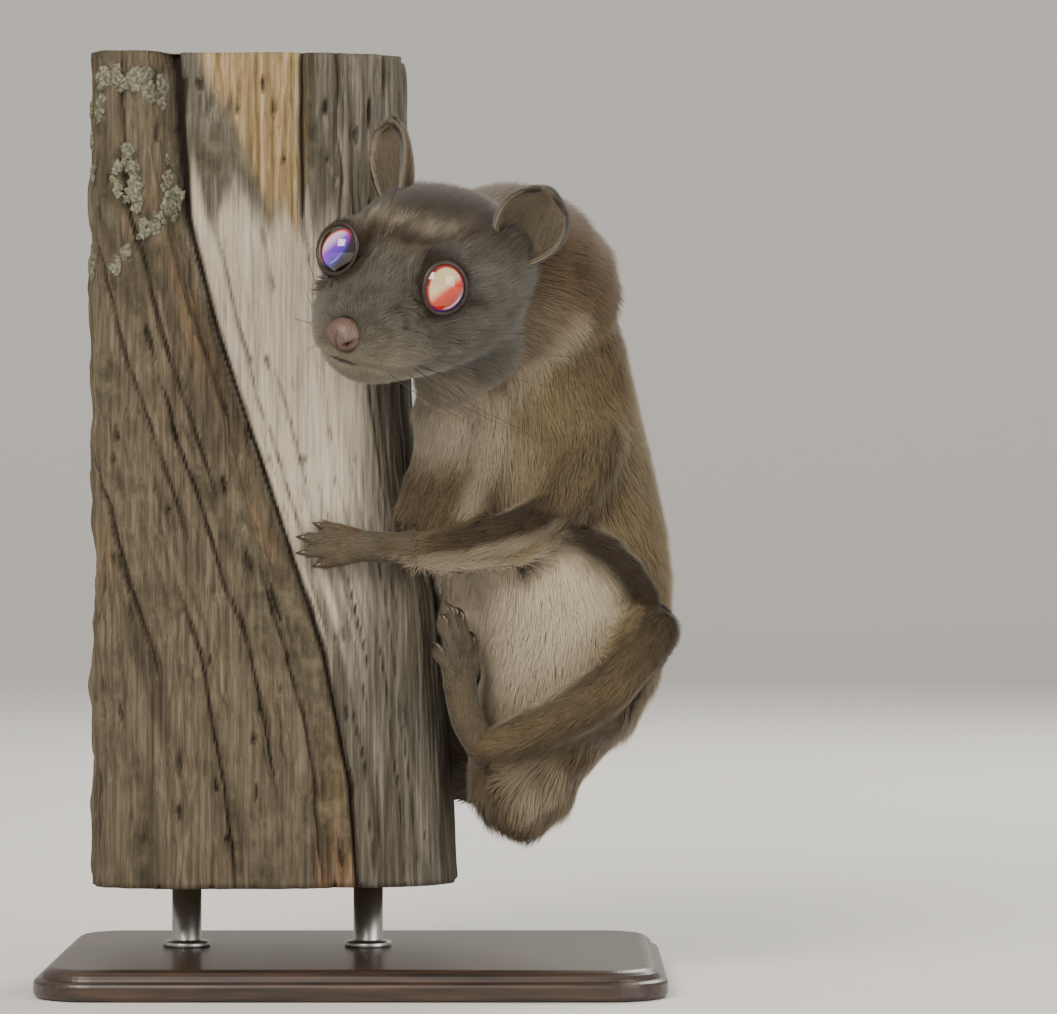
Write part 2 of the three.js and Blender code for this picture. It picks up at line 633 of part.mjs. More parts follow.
// The display stand
function baseOutline() {
  const [x, y, r] = [BASE.width / 2 - BASE.bevel, BASE.depth / 2 - BASE.bevel, BASE.corner];
  const outline = new THREE.Shape();
  outline.absarc(x - r, -y + r, r, -Math.PI / 2, 0);
  outline.absarc(x - r, y - r, r, 0, Math.PI / 2);
  outline.absarc(-x + r, y - r, r, Math.PI / 2, Math.PI);
  outline.absarc(-x + r, -y + r, r, Math.PI, 1.5 * Math.PI);
  return outline;
}
function base() {
  const bevel = { bevelThickness: BASE.bevel, bevelSize: BASE.bevel, bevelSegments: 1 };
  const plate = new THREE.ExtrudeGeometry(baseOutline(), {
    depth: BASE.height - 2 * BASE.bevel,
    curveSegments: 5,
    ...bevel,
  });
  return solid(plate.translate(0, 0, BASE.bevel));
}
function rod([x, y]) {
  const low = BASE.height + GAP;
  const high = LOG_ENDS.bottom - GAP;
  const shaft = new THREE.CylinderGeometry(ROD.radius, ROD.radius, high - low, 20);
  return solid(shaft.rotateX(Math.PI / 2).translate(x, y, (low + high) / 2));
}

// The log is set first and the softest, outermost pieces last.
part.add(meshOf("log", cut(log(0), crack()), WEATHERED_WOOD));
grown.push(log(GAP));
set("nose", nose, NOSE_SKIN);
set("head", head, GREY_FUR);
set("torso", torso, BROWN_FUR);
set("neck", neck, GREY_FUR);
Object.entries(SIDES).forEach(([name, side]) => {
  part.add(meshOf(`eye_${name}`, inHead(eyeball(side, EYE.radius)), EYE_GLASS));
  set(`ear_${name}`, (grow) => ear(name, grow), EAR_SKIN);
});
Object.entries(legs).forEach(([name, make]) => set(name, make, DARK_FUR));
Object.entries(PAWS).forEach(([name, sizes]) => set(name, (grow) => paw({ ...sizes, grow }), DARK_FUR));
set("propatagium_left", propatagium, BROWN_FUR);
set("patagium_left", hem(HEM_LEFT), DARK_FUR);
set("patagium_right", hem(HEM_RIGHT), DARK_FUR);
const clearTail = cut(tail(), ...grown);
const [first, second] = TAIL_PARTINGS;
const middle = clearTail.intersect(beyondParting(first, GAP));
part.add(meshOf("tail_root", cut(clearTail, beyondParting(first, 0)), BROWN_FUR));
part.add(meshOf("tail_middle", cut(middle, beyondParting(second, 0)), BROWN_FUR));
part.add(meshOf("tail_tip", middle.intersect(beyondParting(second, GAP)), BROWN_FUR));
part.add(meshOf("stand_base", base(), BASE_WOOD));
ROD.places.forEach((place, i) => part.add(meshOf(`stand_rod_${i + 1}`, rod(place), ROD_METAL)));

export default part;
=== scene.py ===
import itertools
import math

import bmesh
import bpy
import numpy as np
from mathutils import Euler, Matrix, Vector
from mathutils.bvhtree import BVHTree


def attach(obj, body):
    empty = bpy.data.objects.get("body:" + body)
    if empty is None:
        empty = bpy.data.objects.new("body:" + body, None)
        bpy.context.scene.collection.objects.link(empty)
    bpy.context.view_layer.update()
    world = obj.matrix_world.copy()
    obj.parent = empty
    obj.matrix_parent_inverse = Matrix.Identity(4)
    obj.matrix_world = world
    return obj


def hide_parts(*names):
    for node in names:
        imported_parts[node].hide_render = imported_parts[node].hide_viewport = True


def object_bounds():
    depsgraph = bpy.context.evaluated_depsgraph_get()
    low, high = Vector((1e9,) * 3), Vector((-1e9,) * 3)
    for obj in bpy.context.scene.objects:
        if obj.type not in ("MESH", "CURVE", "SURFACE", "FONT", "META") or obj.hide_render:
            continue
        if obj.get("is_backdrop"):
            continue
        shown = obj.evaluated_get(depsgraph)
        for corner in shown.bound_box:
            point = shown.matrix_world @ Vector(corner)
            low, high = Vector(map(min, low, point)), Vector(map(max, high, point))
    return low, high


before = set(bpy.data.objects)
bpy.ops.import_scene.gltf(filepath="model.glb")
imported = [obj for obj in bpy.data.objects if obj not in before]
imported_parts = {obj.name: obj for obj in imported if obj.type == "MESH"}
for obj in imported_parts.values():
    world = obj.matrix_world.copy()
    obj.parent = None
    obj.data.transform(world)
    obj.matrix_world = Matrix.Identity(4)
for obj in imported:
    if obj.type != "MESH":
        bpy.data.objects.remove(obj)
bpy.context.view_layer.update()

# The viewer's place
# A long lens stands 0.9 m in front of the animal, level with its chest. The picture's plane there
# shows 5 pixels to the millimetre.
PICTURE_WIDTH, PIXELS_A_MM, VIEW_DISTANCE = 1057, 5, 900
lens = bpy.data.cameras.new("viewer")
lens.sensor_width = 36
lens.lens = lens.sensor_width * VIEW_DISTANCE / (PICTURE_WIDTH / PIXELS_A_MM)
lens.clip_start = 0.01
viewer = bpy.data.objects.new("viewer", lens)
viewer.location = (0.0347, -0.912, 0.0956)
viewer.rotation_euler = (math.radians(90), 0, 0)
bpy.context.collection.objects.link(viewer)
bpy.context.scene.camera = viewer


# Studio
# Pale matte card lies under the model and sweeps up behind it, so no horizon shows. Soft boxes light
# it: a large one high on the left, a weaker one on the right and one behind for the fur's outline.
def colour(code):
    """An sRGB hex value as linear numbers."""
    parts = [int(code[i:i + 2], 16) / 255 for i in (1, 3, 5)]
    return tuple(c / 12.92 if c <= 0.04045 else ((c + 0.055) / 1.055) ** 2.4 for c in parts) + (1.0,)


# The output that a sort of shader node hands on, where it isn't the first
HANDS_ON = {"ShaderNodeAttribute": "Fac", "ShaderNodeTexCoord": "Object", "ShaderNodeMix": 2}


def add(tree, kind, settings=None, sockets=None):
    """Adds one shader node, with its settings and with its sockets' values or the nodes they read."""
    node = tree.nodes.new("ShaderNode" + kind)
    for name, value in (settings or {}).items():
        if name == "stops":
            ramp = node.color_ramp.elements
            while len(ramp) < len(value):
                ramp.new(0.5)
            for stop, (place, code) in zip(ramp, value):
                stop.position = place
                stop.color = colour(code)
        else:
            setattr(node, name, value)
    for name, value in (sockets or {}).items():
        if isinstance(value, bpy.types.Node):
            tree.links.new(value.outputs[HANDS_ON.get(value.bl_idname, 0)], node.inputs[name])
        else:
            node.inputs[name].default_value = value
    return node


def noise(tree, place, scale, detail, roughness=0.5):
    """Cloudy numbers over places, with features as wide as a metre divided by the scale."""
    return add(tree, "TexNoise", {}, {
        "Vector": place, "Scale": scale, "Detail": detail, "Roughness": roughness,
    })


def tone_run(tree, number, stops):
    """A tone from a run of them, picked by a number."""
    return add(tree, "ValToRGB", {"stops": stops}, {"Fac": number})


def laid_over(tree, share, base, top):
    """One tone laid over another, by a share."""
    return add(tree, "Mix", {"data_type": "RGBA"}, {0: share, 6: base, 7: top})


def relief(tree, height, strength, distance):
    """Fine relief from numbers, as deep as the distance in metres."""
    return add(tree, "Bump", {}, {"Strength": strength, "Distance": distance, "Height": height})


def kept_number(tree, name):
    """A number that the piece keeps at each of its points."""
    return add(tree, "Attribute", {"attribute_name": name})


def material(name):
    """A new material with only its output, and its tree."""
    made = bpy.data.materials.new(name)
    made.use_nodes = True
    made.node_tree.nodes.clear()
    return made, made.node_tree


def finish(tree, sockets):
    """Gives the material its surface."""
    add(tree, "OutputMaterial", {}, {"Surface": add(tree, "BsdfPrincipled", {}, sockets)})


card, tree = material("pale matte card")
# Unglossy board, its pressed fibres about a millimetre apart.
place = add(tree, "TexCoord")
fibre = noise(tree, place, 900.0, 3.0)
grain = relief(tree, fibre, 0.05, 0.0002)
finish(tree, {
    "Base Color": colour("#e6e4e0"), "Roughness": 0.9, "Specular IOR Level": 0.2,
    "Normal": grain,
})
SWEEP = {"front": -6, "back": 1.6, "radius": 1.0, "top": 4, "half": 8}
bend = [
    (SWEEP["back"] + SWEEP["radius"] * math.sin(a), SWEEP["radius"] * (1 - math.cos(a)))
    for a in np.radians(np.arange(0, 91, 6))
]
profile = [(SWEEP["front"], 0)] + bend + [(SWEEP["back"] + SWEEP["radius"], SWEEP["top"])]
sheet = bpy.data.meshes.new("card_sweep")
sheet.from_pydata(
    [(side * SWEEP["half"], y, z) for y, z in profile for side in (-1, 1)], [],
    [(k, k + 1, k + 3, k + 2) for k in range(0, 2 * len(profile) - 2, 2)])
sheet.polygons.foreach_set("use_smooth", [True] * len(sheet.polygons))
sheet.materials.append(card)
sweep = bpy.data.objects.new("card_sweep", sheet)
bpy.context.collection.objects.link(sweep)
sweep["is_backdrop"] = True

# Each box's place, size, power in watts and tint
SOFT_BOXES = {
    "key": ((-0.5, -1.0, 0.8), 0.6, 15.0, "#fff6ea"),
    "fill": ((0.95, -0.8, 0.35), 0.8, 8.0, "#fbf7f0"),
    "back": ((0.45, 0.8, 0.8), 0.5, 8.0, "#fffaf2"),
}
for name, (spot, size, power, tint) in SOFT_BOXES.items():
    box = bpy.data.lights.new(name, "AREA")
    box.size = size
    box.energy = power
    box.color = colour(tint)[:3]
    holder = bpy.data.objects.new(name, box)
    holder.location = spot
    aim = Vector((0.0, -0.01, 0.1)) - Vector(spot)
    holder.rotation_euler = aim.to_track_quat("-Z", "Y").to_euler()
    bpy.context.collection.objects.link(holder)
room = bpy.data.worlds.new("room")
room.use_nodes = True
room.node_tree.nodes["Background"].inputs["Color"].default_value = colour("#ebe9e5")
room.node_tree.nodes["Background"].inputs["Strength"].default_value = 0.75
bpy.context.scene.world = room


# Display base
# A flat board of stained hardwood with a routed edge, satin lacquered. It is turned out as rings
# from the underside, over the edge and in to the top.
def mesh_object(name, points, faces, paint, smooth=True):
    """A piece from points in millimetres and faces of one size, with its material."""
    mesh = bpy.data.meshes.new(name)
    mesh.vertices.add(len(points))
    mesh.vertices.foreach_set("co", (np.asarray(points) / 1000).astype(np.float32).ravel())
    faces = np.asarray(faces, np.int32)
    mesh.loops.add(faces.size)
    mesh.loops.foreach_set("vertex_index", faces.ravel())
    mesh.polygons.add(len(faces))
    mesh.polygons.foreach_set("loop_start", np.arange(len(faces), dtype=np.int32) * faces.shape[1])
    mesh.polygons.foreach_set("use_smooth", np.full(len(faces), smooth))
    mesh.update(calc_edges=True)
    mesh.validate()
    mesh.materials.append(paint)
    piece = bpy.data.objects.new(name, mesh)
    bpy.context.collection.objects.link(piece)
    return piece


def dress(piece, slot, *nodes):
    """The piece rides on the still body and stands for CAD nodes. Its finish slot is not used."""
    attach(piece, "root")
    if nodes:
        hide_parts(*nodes)


def ring_faces(rows, around, first=0):
    """Triangles between rings of points, each ring anticlockwise seen from the last."""
    row, step = np.meshgrid(np.arange(rows - 1), np.arange(around), indexing="ij")
    a = first + row * around + step
    b = first + row * around + (step + 1) % around
    return np.concatenate([
        np.stack([a, b, b + around], -1).reshape(-1, 3),
        np.stack([a, b + around, a + around], -1).reshape(-1, 3),
    ])


def shell(rings, low, high):
    """Points and triangles of a closed skin through rings, shut by a point at each end."""
    rings = np.asarray(rings, float)
    rows, around = rings.shape[:2]
    points = np.concatenate([rings.reshape(-1, 3), [low], [high]])
    step = np.arange(around)
    after = (step + 1) % around
    top = (rows - 1) * around
    shut_low = np.stack([np.full(around, rows * around), after, step], -1)
    shut_high = np.stack([np.full(around, rows * around + 1), top + step, top + after], -1)
    return points, np.concatenate([ring_faces(rows, around), shut_low, shut_high])


BOARD = {"half": (62, 45), "corner": 12}
# The routed edge from below, as how far in from the side and how high
BOARD_EDGE = [
    (1.4, 0), (0.4, 0.3), (0, 0.9), (0, 2.9), (0.2, 3.4), (0.8, 3.8), (1.4, 3.9), (1.5, 4.2),
    (1.9, 4.9), (2.6, 5.5), (3.5, 5.9), (4.4, 6.0),
]


def board_ring(inset, height, segments=14):
    """One rounded rectangle of the board's edge."""
    half_x, half_y = (side - BOARD["corner"] for side in BOARD["half"])
    points = []
    for quarter, (sx, sy) in enumerate([(1, -1), (1, 1), (-1, 1), (-1, -1)]):
        for k in range(segments + 1):
            angle = math.radians(-90 + 90 * quarter + 90 * k / segments)
            reach = BOARD["corner"] - inset
            points.append((
                sx * half_x + reach * math.cos(angle), sy * half_y + reach * math.sin(angle), height,
            ))
    return points


stained, tree = material("stained and lacquered beech")
place = add(tree, "TexCoord")
along = add(tree, "Mapping", {}, {"Vector": place, "Scale": (60.0, 900.0, 900.0)})
# Long pores, about a millimetre apart, darken with the stain and stay faintly open in the lacquer.
pores = noise(tree, along, 1.0, 5.0)
tone = tone_run(tree, pores, [(0.3, "#1d130d"), (0.55, "#36251a"), (0.75, "#4a3323")])
open_pores = relief(tree, pores, 0.12, 0.0002)
finish(tree, {
    "Base Color": tone, "Roughness": 0.42, "Coat Weight": 0.35, "Coat Roughness": 0.22,
    "Normal": open_pores,
})
rings = [board_ring(inset, height) for inset, height in BOARD_EDGE]
points, faces = shell(rings, (0, 0, 0), (0, 0, BOARD_EDGE[-1][1]))
board = mesh_object("display_base", points, faces, stained, smooth=False)
dress(board, "base_wood", "stand_base")

# Display rods
# Two turned steel rods, each with a thin collar on the board, run up into holes in the log. Each is
# one ring after another through its profile of radii and heights.
RODS = {"rod_left": (-35, 6, "stand_rod_1"), "rod_right": (2, 6, "stand_rod_2")}
ROD_PROFILE = [(4.6, 5.9), (4.8, 6.1), (4.8, 6.9), (4.5, 7.2), (3.1, 7.3), (3, 7.5), (3, 20.6)]
turned, tree = material("brushed stainless steel")
place = add(tree, "TexCoord")
# Fine turning lines run round the rod and streak its gloss.
rounds = add(tree, "Mapping", {}, {"Vector": place, "Scale": (40.0, 40.0, 5000.0)})
lines = noise(tree, rounds, 1.0, 2.0)
gloss = add(tree, "MapRange", {}, {"Value": lines, "To Min": 0.25, "To Max": 0.4})
finish(tree, {
    "Base Color": colour("#b4b3b0"), "Metallic": 1.0, "Roughness": gloss,
})
for name, (x, y, node) in RODS.items():
    turn = np.radians(np.arange(0, 360, 7.5))
    rings = [
        np.stack([x + radius * np.cos(turn), y + radius * np.sin(turn), np.full(turn.shape, height)], -1)
        for radius, height in ROD_PROFILE
    ]
    rod = mesh_object(name, *shell(rings, (x, y, ROD_PROFILE[0][1]), (x, y, ROD_PROFILE[-1][1])), turned)
    dress(rod, "rod_steel", node)


# Log
# A cut length of a split dead trunk: rough brown wood on the left stands proud of a bleached strip,
# with a crack between them, and lower down it has weathered grey. It is built of rings up its
# height, carved along the grain.
def lattice(cells, seed):
    """Numbers from -1 to 1 at whole-number places, the same on every run."""
    cells = cells.astype(np.int64)
    mixed = cells[..., 0] * 374761393 + cells[..., 1] * 668265263 + cells[..., 2] * 1442695041
    mixed = (mixed + seed * 974634777) & 0xFFFFFFFF
    mixed = ((mixed ^ (mixed >> 13)) * 1274126177) & 0xFFFFFFFF
    return ((mixed ^ (mixed >> 16)) & 0xFFFF) / 32767.5 - 1


def drift(points, size, seed=0):
    """Smooth random numbers from -1 to 1 over places in millimetres, with features of a size."""
    scaled = np.asarray(points, float) / np.asarray(size, float)
    cell = np.floor(scaled)
    inside = scaled - cell
    ease = inside * inside * (3 - 2 * inside)
    total = 0
    for corner in itertools.product((0, 1), repeat=3):
        weight = np.where(corner, ease, 1 - ease).prod(-1)
        total = total + weight * lattice(cell + np.array(corner), seed)
    return total


def rise(value, low, high):
    """0 under low and 1 over high, with a soft step between."""
    t = np.clip((value - low) / (high - low), 0, 1)
    return t * t * (3 - 2 * t)


LOG_HEIGHT = (20, 186)
# Heights on the trunk, and where its left, right, front and back faces stand there
LOG_FACES = np.array([
    [14, -53, 21, -20, 31], [48, -52.5, 19, -20, 30], [77, -52, 17, -20, 29], [97, -51.5, 13.5, -20, 28.5],
    [117, -51, 11.5, -19.5, 28], [150, -50, 11, -19, 27], [192, -49, 10.5, -18.5, 26],
])
# Heights, and where the split runs there
SPLIT = np.array([[14, 1], [40, -1], [67, -6.5], [100, -17.5], [131, -28], [153, -34], [194, -37]])
# The rough slab left of the split stands proud of the trunk: its left face, middle depth and half
# depth. Both forms have corners rounded by one power.
SLAB = {"left": -53, "middle": -8, "half": 15}
CORNERS = 3.4
# The wood right of the split is measured as if it were this wide at every height.
EVEN_WIDTH = 34
# The crack of the split itself and the drying cracks beside it: how far right of it, from what height
# to what height, half width and depth
SPLIT_CRACK = (0.6, 10, 190, 0.55, 2.4)
CHECKS = [
    (4.5, 88, 150, 0.25, 1.0), (12, 60, 96, 0.2, 0.9), (9, 96, 122, 0.2, 0.8), (17, 22, 70, 0.25, 1.0),
    (21, 30, 92, 0.2, 0.9), (-6, 24, 84, 0.3, 1.2), (-14, 40, 120, 0.3, 1.4), (-24, 22, 78, 0.3, 1.3),
    (-33, 60, 140, 0.35, 1.4), (26, 96, 160, 0.2, 0.8), (6.5, 24, 60, 0.25, 1.0),
    (18.5, 150, 190, 0.4, 1.6), (-10, 100, 180, 0.3, 1.2), (-19, 90, 150, 0.3, 1.2),
    (-28, 130, 186, 0.3, 1.2), (24, 150, 190, 0.3, 1.2),
]
LOG_ROWS, LOG_AROUND, LOG_CAP = 118, 480, 12


def log_split(z):
    """Where the split runs at a height."""
    return np.interp(z, SPLIT[:, 0], SPLIT[:, 1])


def grain_place(points):
    """Places with the grain made straight: across from the split, through the log and along it."""
    x, y, z = points[..., 0], points[..., 1], points[..., 2]
    edge = log_split(z)
    right = np.interp(z, LOG_FACES[:, 0], LOG_FACES[:, 2])
    across = np.where(x < edge, x - edge, (x - edge) * EVEN_WIDTH / (right - edge))
    return np.stack([across, y, z], -1)


def log_ring(z):
    """The log's outline at a height, evenly spaced, anticlockwise."""
    left, right, front, back = (np.interp(z, LOG_FACES[:, 0], LOG_FACES[:, k]) for k in range(1, 5))
    edge = log_split(z)
    angle = np.linspace(0, 2 * np.pi, 1600, endpoint=False)
    middle = np.array([(left + right) / 2, (front + back) / 2])
    way = np.stack([np.cos(angle), np.sin(angle)], -1)
    low, high = np.zeros(len(angle)), np.full(len(angle), 90.0)
    for _ in range(24):
        reach = (low + high) / 2
        x, y = (middle + way * reach[:, None]).T
        trunk = (np.abs(x - middle[0]) / ((right - left) / 2)) ** CORNERS
        trunk = trunk + (np.abs(y - middle[1]) / ((back - front) / 2)) ** CORNERS
        slab = (np.abs(x - (edge + SLAB["left"]) / 2) / ((edge - SLAB["left"]) / 2)) ** CORNERS
        slab = slab + (np.abs(y - SLAB["middle"]) / SLAB["half"]) ** CORNERS
        inside = np.minimum(trunk, slab) < 1
        low = np.where(inside, reach, low)
        high = np.where(inside, high, reach)
    outline = middle + way * low[:, None]
    closed = np.vstack([outline, outline[:1]])
    length = np.concatenate([[0], np.cumsum(np.linalg.norm(np.diff(closed, axis=0), axis=1))])
    even = np.linspace(0, length[-1], LOG_AROUND, endpoint=False)
    return np.stack([np.interp(even, length, closed[:, 0]), np.interp(even, length, closed[:, 1]),
                     np.full(LOG_AROUND, z)], -1)


heights = np.linspace(*LOG_HEIGHT, LOG_ROWS)
bark = np.stack([log_ring(z) for z in heights])
tangent = np.roll(bark, -2, axis=1) - np.roll(bark, 2, axis=1)
outward = np.stack([tangent[..., 1], -tangent[..., 0], np.zeros(bark.shape[:2])], -1)
outward /= np.linalg.norm(outward, axis=-1, keepdims=True)
grain = grain_place(bark)
left_part = rise(-grain[..., 0], -0.6, 0.6)
facing = rise(-outward[..., 1], 0.1, 0.6)
fine = 1 - 2 * np.abs(drift(grain, (1.0, 1.0, 26), 1))
ropes = drift(grain, (3.2, 3.2, 42), 2)
waves = drift(grain, (8, 8, 55), 3)
knots = drift(bark, (9, 9, 12), 4) + 0.5 * drift(bark, (4, 4, 6), 5)
carve = 0.16 * fine + 0.35 * ropes + 0.5 * waves - 0.75
crumbly = np.maximum(left_part, rise(bark[..., 2], 148, 160) * 0.8)
carve += crumbly * (0.6 * ropes + 0.8 * knots - 0.3 + 0.45 * drift(bark, (1.6, 1.6, 4), 6))
# Beetle holes and chipped spots
pits = rise(drift(grain, (1.3, 1.3, 5), 17), 0.6, 0.85) * facing
carve -= (0.5 + 0.9 * crumbly) * pits
crack_depth = np.zeros(bark.shape[:2])
for crack in [SPLIT_CRACK] + CHECKS:
    offset, low, high, half, deep = crack
    seed = int(offset * 7) % 97
    wander = 0 if crack is SPLIT_CRACK else 0.5 * drift(bark * [0, 0, 1], (1, 1, 9), seed)
    span = rise(bark[..., 2], low - 6, low + 6) * (1 - rise(bark[..., 2], high - 6, high + 6))
    groove = np.exp(-(((grain[..., 0] - offset - wander) / half) ** 2))
    crack_depth = np.maximum(crack_depth, deep * span * groove * facing)
carve -= crack_depth
bark = bark + outward * carve[..., None]

wood_points = [bark.reshape(-1, 3)]
wood_faces = [ring_faces(LOG_ROWS, LOG_AROUND)]
count = bark.shape[0] * bark.shape[1]
for end, way in ((0, -1), (LOG_ROWS - 1, 1)):
    rim = bark[end]
    heart = np.array([-18.0, 4.0, rim[0, 2]])
    shares = np.linspace(1, 0, LOG_CAP + 1)[1:-1]
    cap = heart + (rim - heart) * shares[:, None, None]
    kerf = 0.12 * np.sin(cap[..., 0] * 1.9 + 0.3 * cap[..., 1]) + 0.15 * drift(cap, (3, 3, 3), 9)
    cap[..., 2] -= way * (0.25 + kerf * (1 - shares[:, None] ** 6))
    wood_points += [cap.reshape(-1, 3), heart[None]]
    chain = np.concatenate([np.arange(end * LOG_AROUND, (end + 1) * LOG_AROUND),
                            count + np.arange(len(shares) * LOG_AROUND)])
    quads = chain[ring_faces(len(shares) + 1, LOG_AROUND)]
    last = count + (len(shares) - 1) * LOG_AROUND + np.arange(LOG_AROUND)
    centre = np.full(LOG_AROUND, count + len(shares) * LOG_AROUND)
    shut = np.stack([centre, last, np.roll(last, -1)], -1)
    both = np.concatenate([quads, shut])
    wood_faces.append(both if way > 0 else both[:, ::-1])
    count += len(shares) * LOG_AROUND + 1
wood_points = np.concatenate(wood_points)
wood_faces = np.concatenate(wood_faces)


def mark(piece, name, values):
    """Keeps a number for each point of the piece, for its material to read."""
    data = piece.data.attributes.new(name, "FLOAT", "POINT").data
    data.foreach_set("value", np.asarray(values, np.float32))


x, y, z = wood_points.T
grain = grain_place(wood_points)
front = rise(-y, 0, 12)
streak = drift(grain, (2.2, 2.2, 60), 11)
blotch = drift(wood_points, (14, 14, 22), 12)
right_of = rise(grain[:, 0], -0.4, 0.8)
sliver = drift(grain, (0.8, 0.8, 34), 14)
bleached = right_of * front * rise(z + 15 * streak + 20 * sliver, 58, 88)
bleached *= 1 - rise(z + 22 * streak + 10 * blotch, 146, 160)
# Right of about x = -5 the bleach gives way in patches: a painted shadow of the animal on the strip, shown
# by the grey and damp tones beneath.
bleached *= 1 - 0.85 * rise(x + 3 * streak, -5, 4) * rise(0.5 * sliver + blotch + 0.7, 0, 0.8)
strip_left = np.interp(z, [150, 186], [-15, -30])
ochre = rise(z + 8 * sliver, 150, 158) * rise(x - strip_left + 2 * streak, -1.5, 1.5)
ochre *= (1 - rise(x + 1.2 * sliver, -10.5, -8.5)) * front
orange = (1 - right_of) * rise(blotch + 0.4 * streak + rise(-z, -90, -30) * 0.5, 0.1, 0.8) * 0.75
patches = rise(drift(wood_points, (5, 5, 6), 13), -0.2, 0.3)
lichen = rise(z - 0.9 * (x + 50), 128, 150) * (1 - right_of) * patches
mould = rise(drift(wood_points, (6, 6, 11), 16) + 0.4 * sliver, 0.0, 0.6)
lichen = np.maximum(lichen, 0.55 * mould * np.maximum(1 - right_of, rise(z, 146, 160) * (1 - ochre)))
# Damp stains darken the wood that is not bleached, and so also fill the painted shadow on the strip.
stain = rise(drift(grain, (5, 5, 30), 15) + 0.4 * sliver, 0.05, 0.7) * (1 - bleached) * (1 - 0.6 * ochre)
on_bark = bark.shape[0] * bark.shape[1]
# Cracks, pits and the deep furrows of the grain take a dark tone: painted shade in the hollows.
furrows = rise(-ropes - 0.6 * fine, 0.45, 1.3).ravel() * 0.6
hollow, sawn = np.zeros((2, len(wood_points)))
hollow[:on_bark] = np.clip((crack_depth / 1.5).ravel() + 0.7 * pits.ravel() + furrows, 0, 1)
sawn[on_bark:] = 1
wood_marks = {
    "bleached": bleached, "orange": orange, "ochre": ochre, "stain": 0.75 * stain, "lichen": lichen,
    "hollow": hollow, "sawn": sawn, "right": right_of,
}

weathered, tree = material("weathered spruce")
place = add(tree, "TexCoord")
# Dead wood bleaches to silver grey where it lies bare and stays brown under its rough skin. Dark
# lines about a millimetre apart run up the grain.
up = add(tree, "Mapping", {}, {"Vector": place, "Scale": (1100.0, 1100.0, 38.0)})
lines = noise(tree, up, 1.0, 6.0, 0.65)
flecks = noise(tree, place, 260.0, 5.0, 0.6)
tones = {name: kept_number(tree, name) for name in wood_marks}
brown = tone_run(tree, lines, [(0.3, "#39322a"), (0.5, "#5f5545"), (0.72, "#807561")])
honey = tone_run(tree, lines, [(0.3, "#5d4a34"), (0.5, "#917b57"), (0.72, "#bdae8f")])
damp_and_painted_shadow = tone_run(tree, lines, [(0.3, "#2a251d"), (0.5, "#413a2e"), (0.72, "#5b5342")])
rust = tone_run(tree, lines, [(0.3, "#4b3a2a"), (0.5, "#755c44"), (0.72, "#9a7f60")])
grey = tone_run(tree, lines, [(0.28, "#37342d"), (0.5, "#5b564c"), (0.7, "#857f73")])
silver = tone_run(tree, lines, [(0.25, "#7d7365"), (0.48, "#b3a998"), (0.75, "#d0c7b7")])
moss = tone_run(tree, flecks, [(0.35, "#302e24"), (0.5, "#4f4a3a"), (0.65, "#6f6853")])
# A sawn end shows rings about 1.6 mm apart round the heart.
heartwood = add(tree, "Mapping", {}, {"Vector": place, "Location": (0.018, -0.004, 0.0)})
rings_tex = add(tree, "TexWave", {"wave_type": "RINGS", "rings_direction": "Z"}, {
    "Vector": heartwood, "Scale": 200.0, "Distortion": 5.0, "Detail": 3.0,
})
end_grain = tone_run(tree, rings_tex, [(0.1, "#8d7c63"), (0.6, "#ab9a80"), (0.95, "#75644d")])
layer = laid_over(tree, tones["right"], brown, grey)
for share, paint in (("orange", rust), ("stain", damp_and_painted_shadow), ("bleached", silver), ("ochre", honey),
                     ("lichen", moss), ("sawn", end_grain)):
    layer = laid_over(tree, tones[share], layer, paint)
# Painted shade darkens the hollows of the cracks, pits and furrows.
layer = laid_over(tree, tones["hollow"], layer, colour("#231c15"))
both = add(tree, "Math", {"operation": "MULTIPLY_ADD"}, {0: flecks, 1: 0.6, 2: lines})
rough_grain = relief(tree, both, 0.8, 0.0009)
finish(tree, {
    "Base Color": layer, "Roughness": 0.88, "Specular IOR Level": 0.25,
    "Normal": rough_grain,
})
log = mesh_object("dead_log", wood_points, wood_faces, weathered)
for name, values in wood_marks.items():
    mark(log, name, values)
dress(log, "weathered_wood", "log")

# Lichen
# Small crusty flakes of lichen stand out of the rough wood at the top left, each a low dome with a
# ragged edge. They are modelled one by one on the finished log.
FLAKES, FLAKE_SIDES = 150, 11
rough = bark.reshape(-1, 3)
room_for = (lichen[:len(rough)] > 0.6) & (rough[:, 1] < -8) & (rough[:, 2] < 182)
flake_dice = np.random.default_rng(5)
spots = flake_dice.choice(np.flatnonzero(room_for), FLAKES, replace=False)
flake_out = outward.reshape(-1, 3)[spots]
flake_points, flake_faces = [], []
for number, (spot, out) in enumerate(zip(rough[spots], flake_out)):
    beside = np.array([-out[1], out[0], 0])
    turn = np.linspace(0, 2 * np.pi, FLAKE_SIDES, endpoint=False)
    reach = flake_dice.uniform(0.5, 1.7) * (1 + 0.28 * flake_dice.standard_normal(FLAKE_SIDES))
    rings = [
        spot + out * height + share * reach[:, None] * (
            beside * np.cos(turn)[:, None] + np.array([0, 0, 1.25]) * np.sin(turn)[:, None])
        for share, height in ((0.9, -0.5), (1.0, 0.12), (0.78, 0.34), (0.4, 0.28))
    ]
    points, faces = shell(rings, spot - out * 0.6, spot + out * 0.22)
    flake_faces.append(faces + number * len(points))
    flake_points.append(points)
crust, tree = material("crustose lichen")
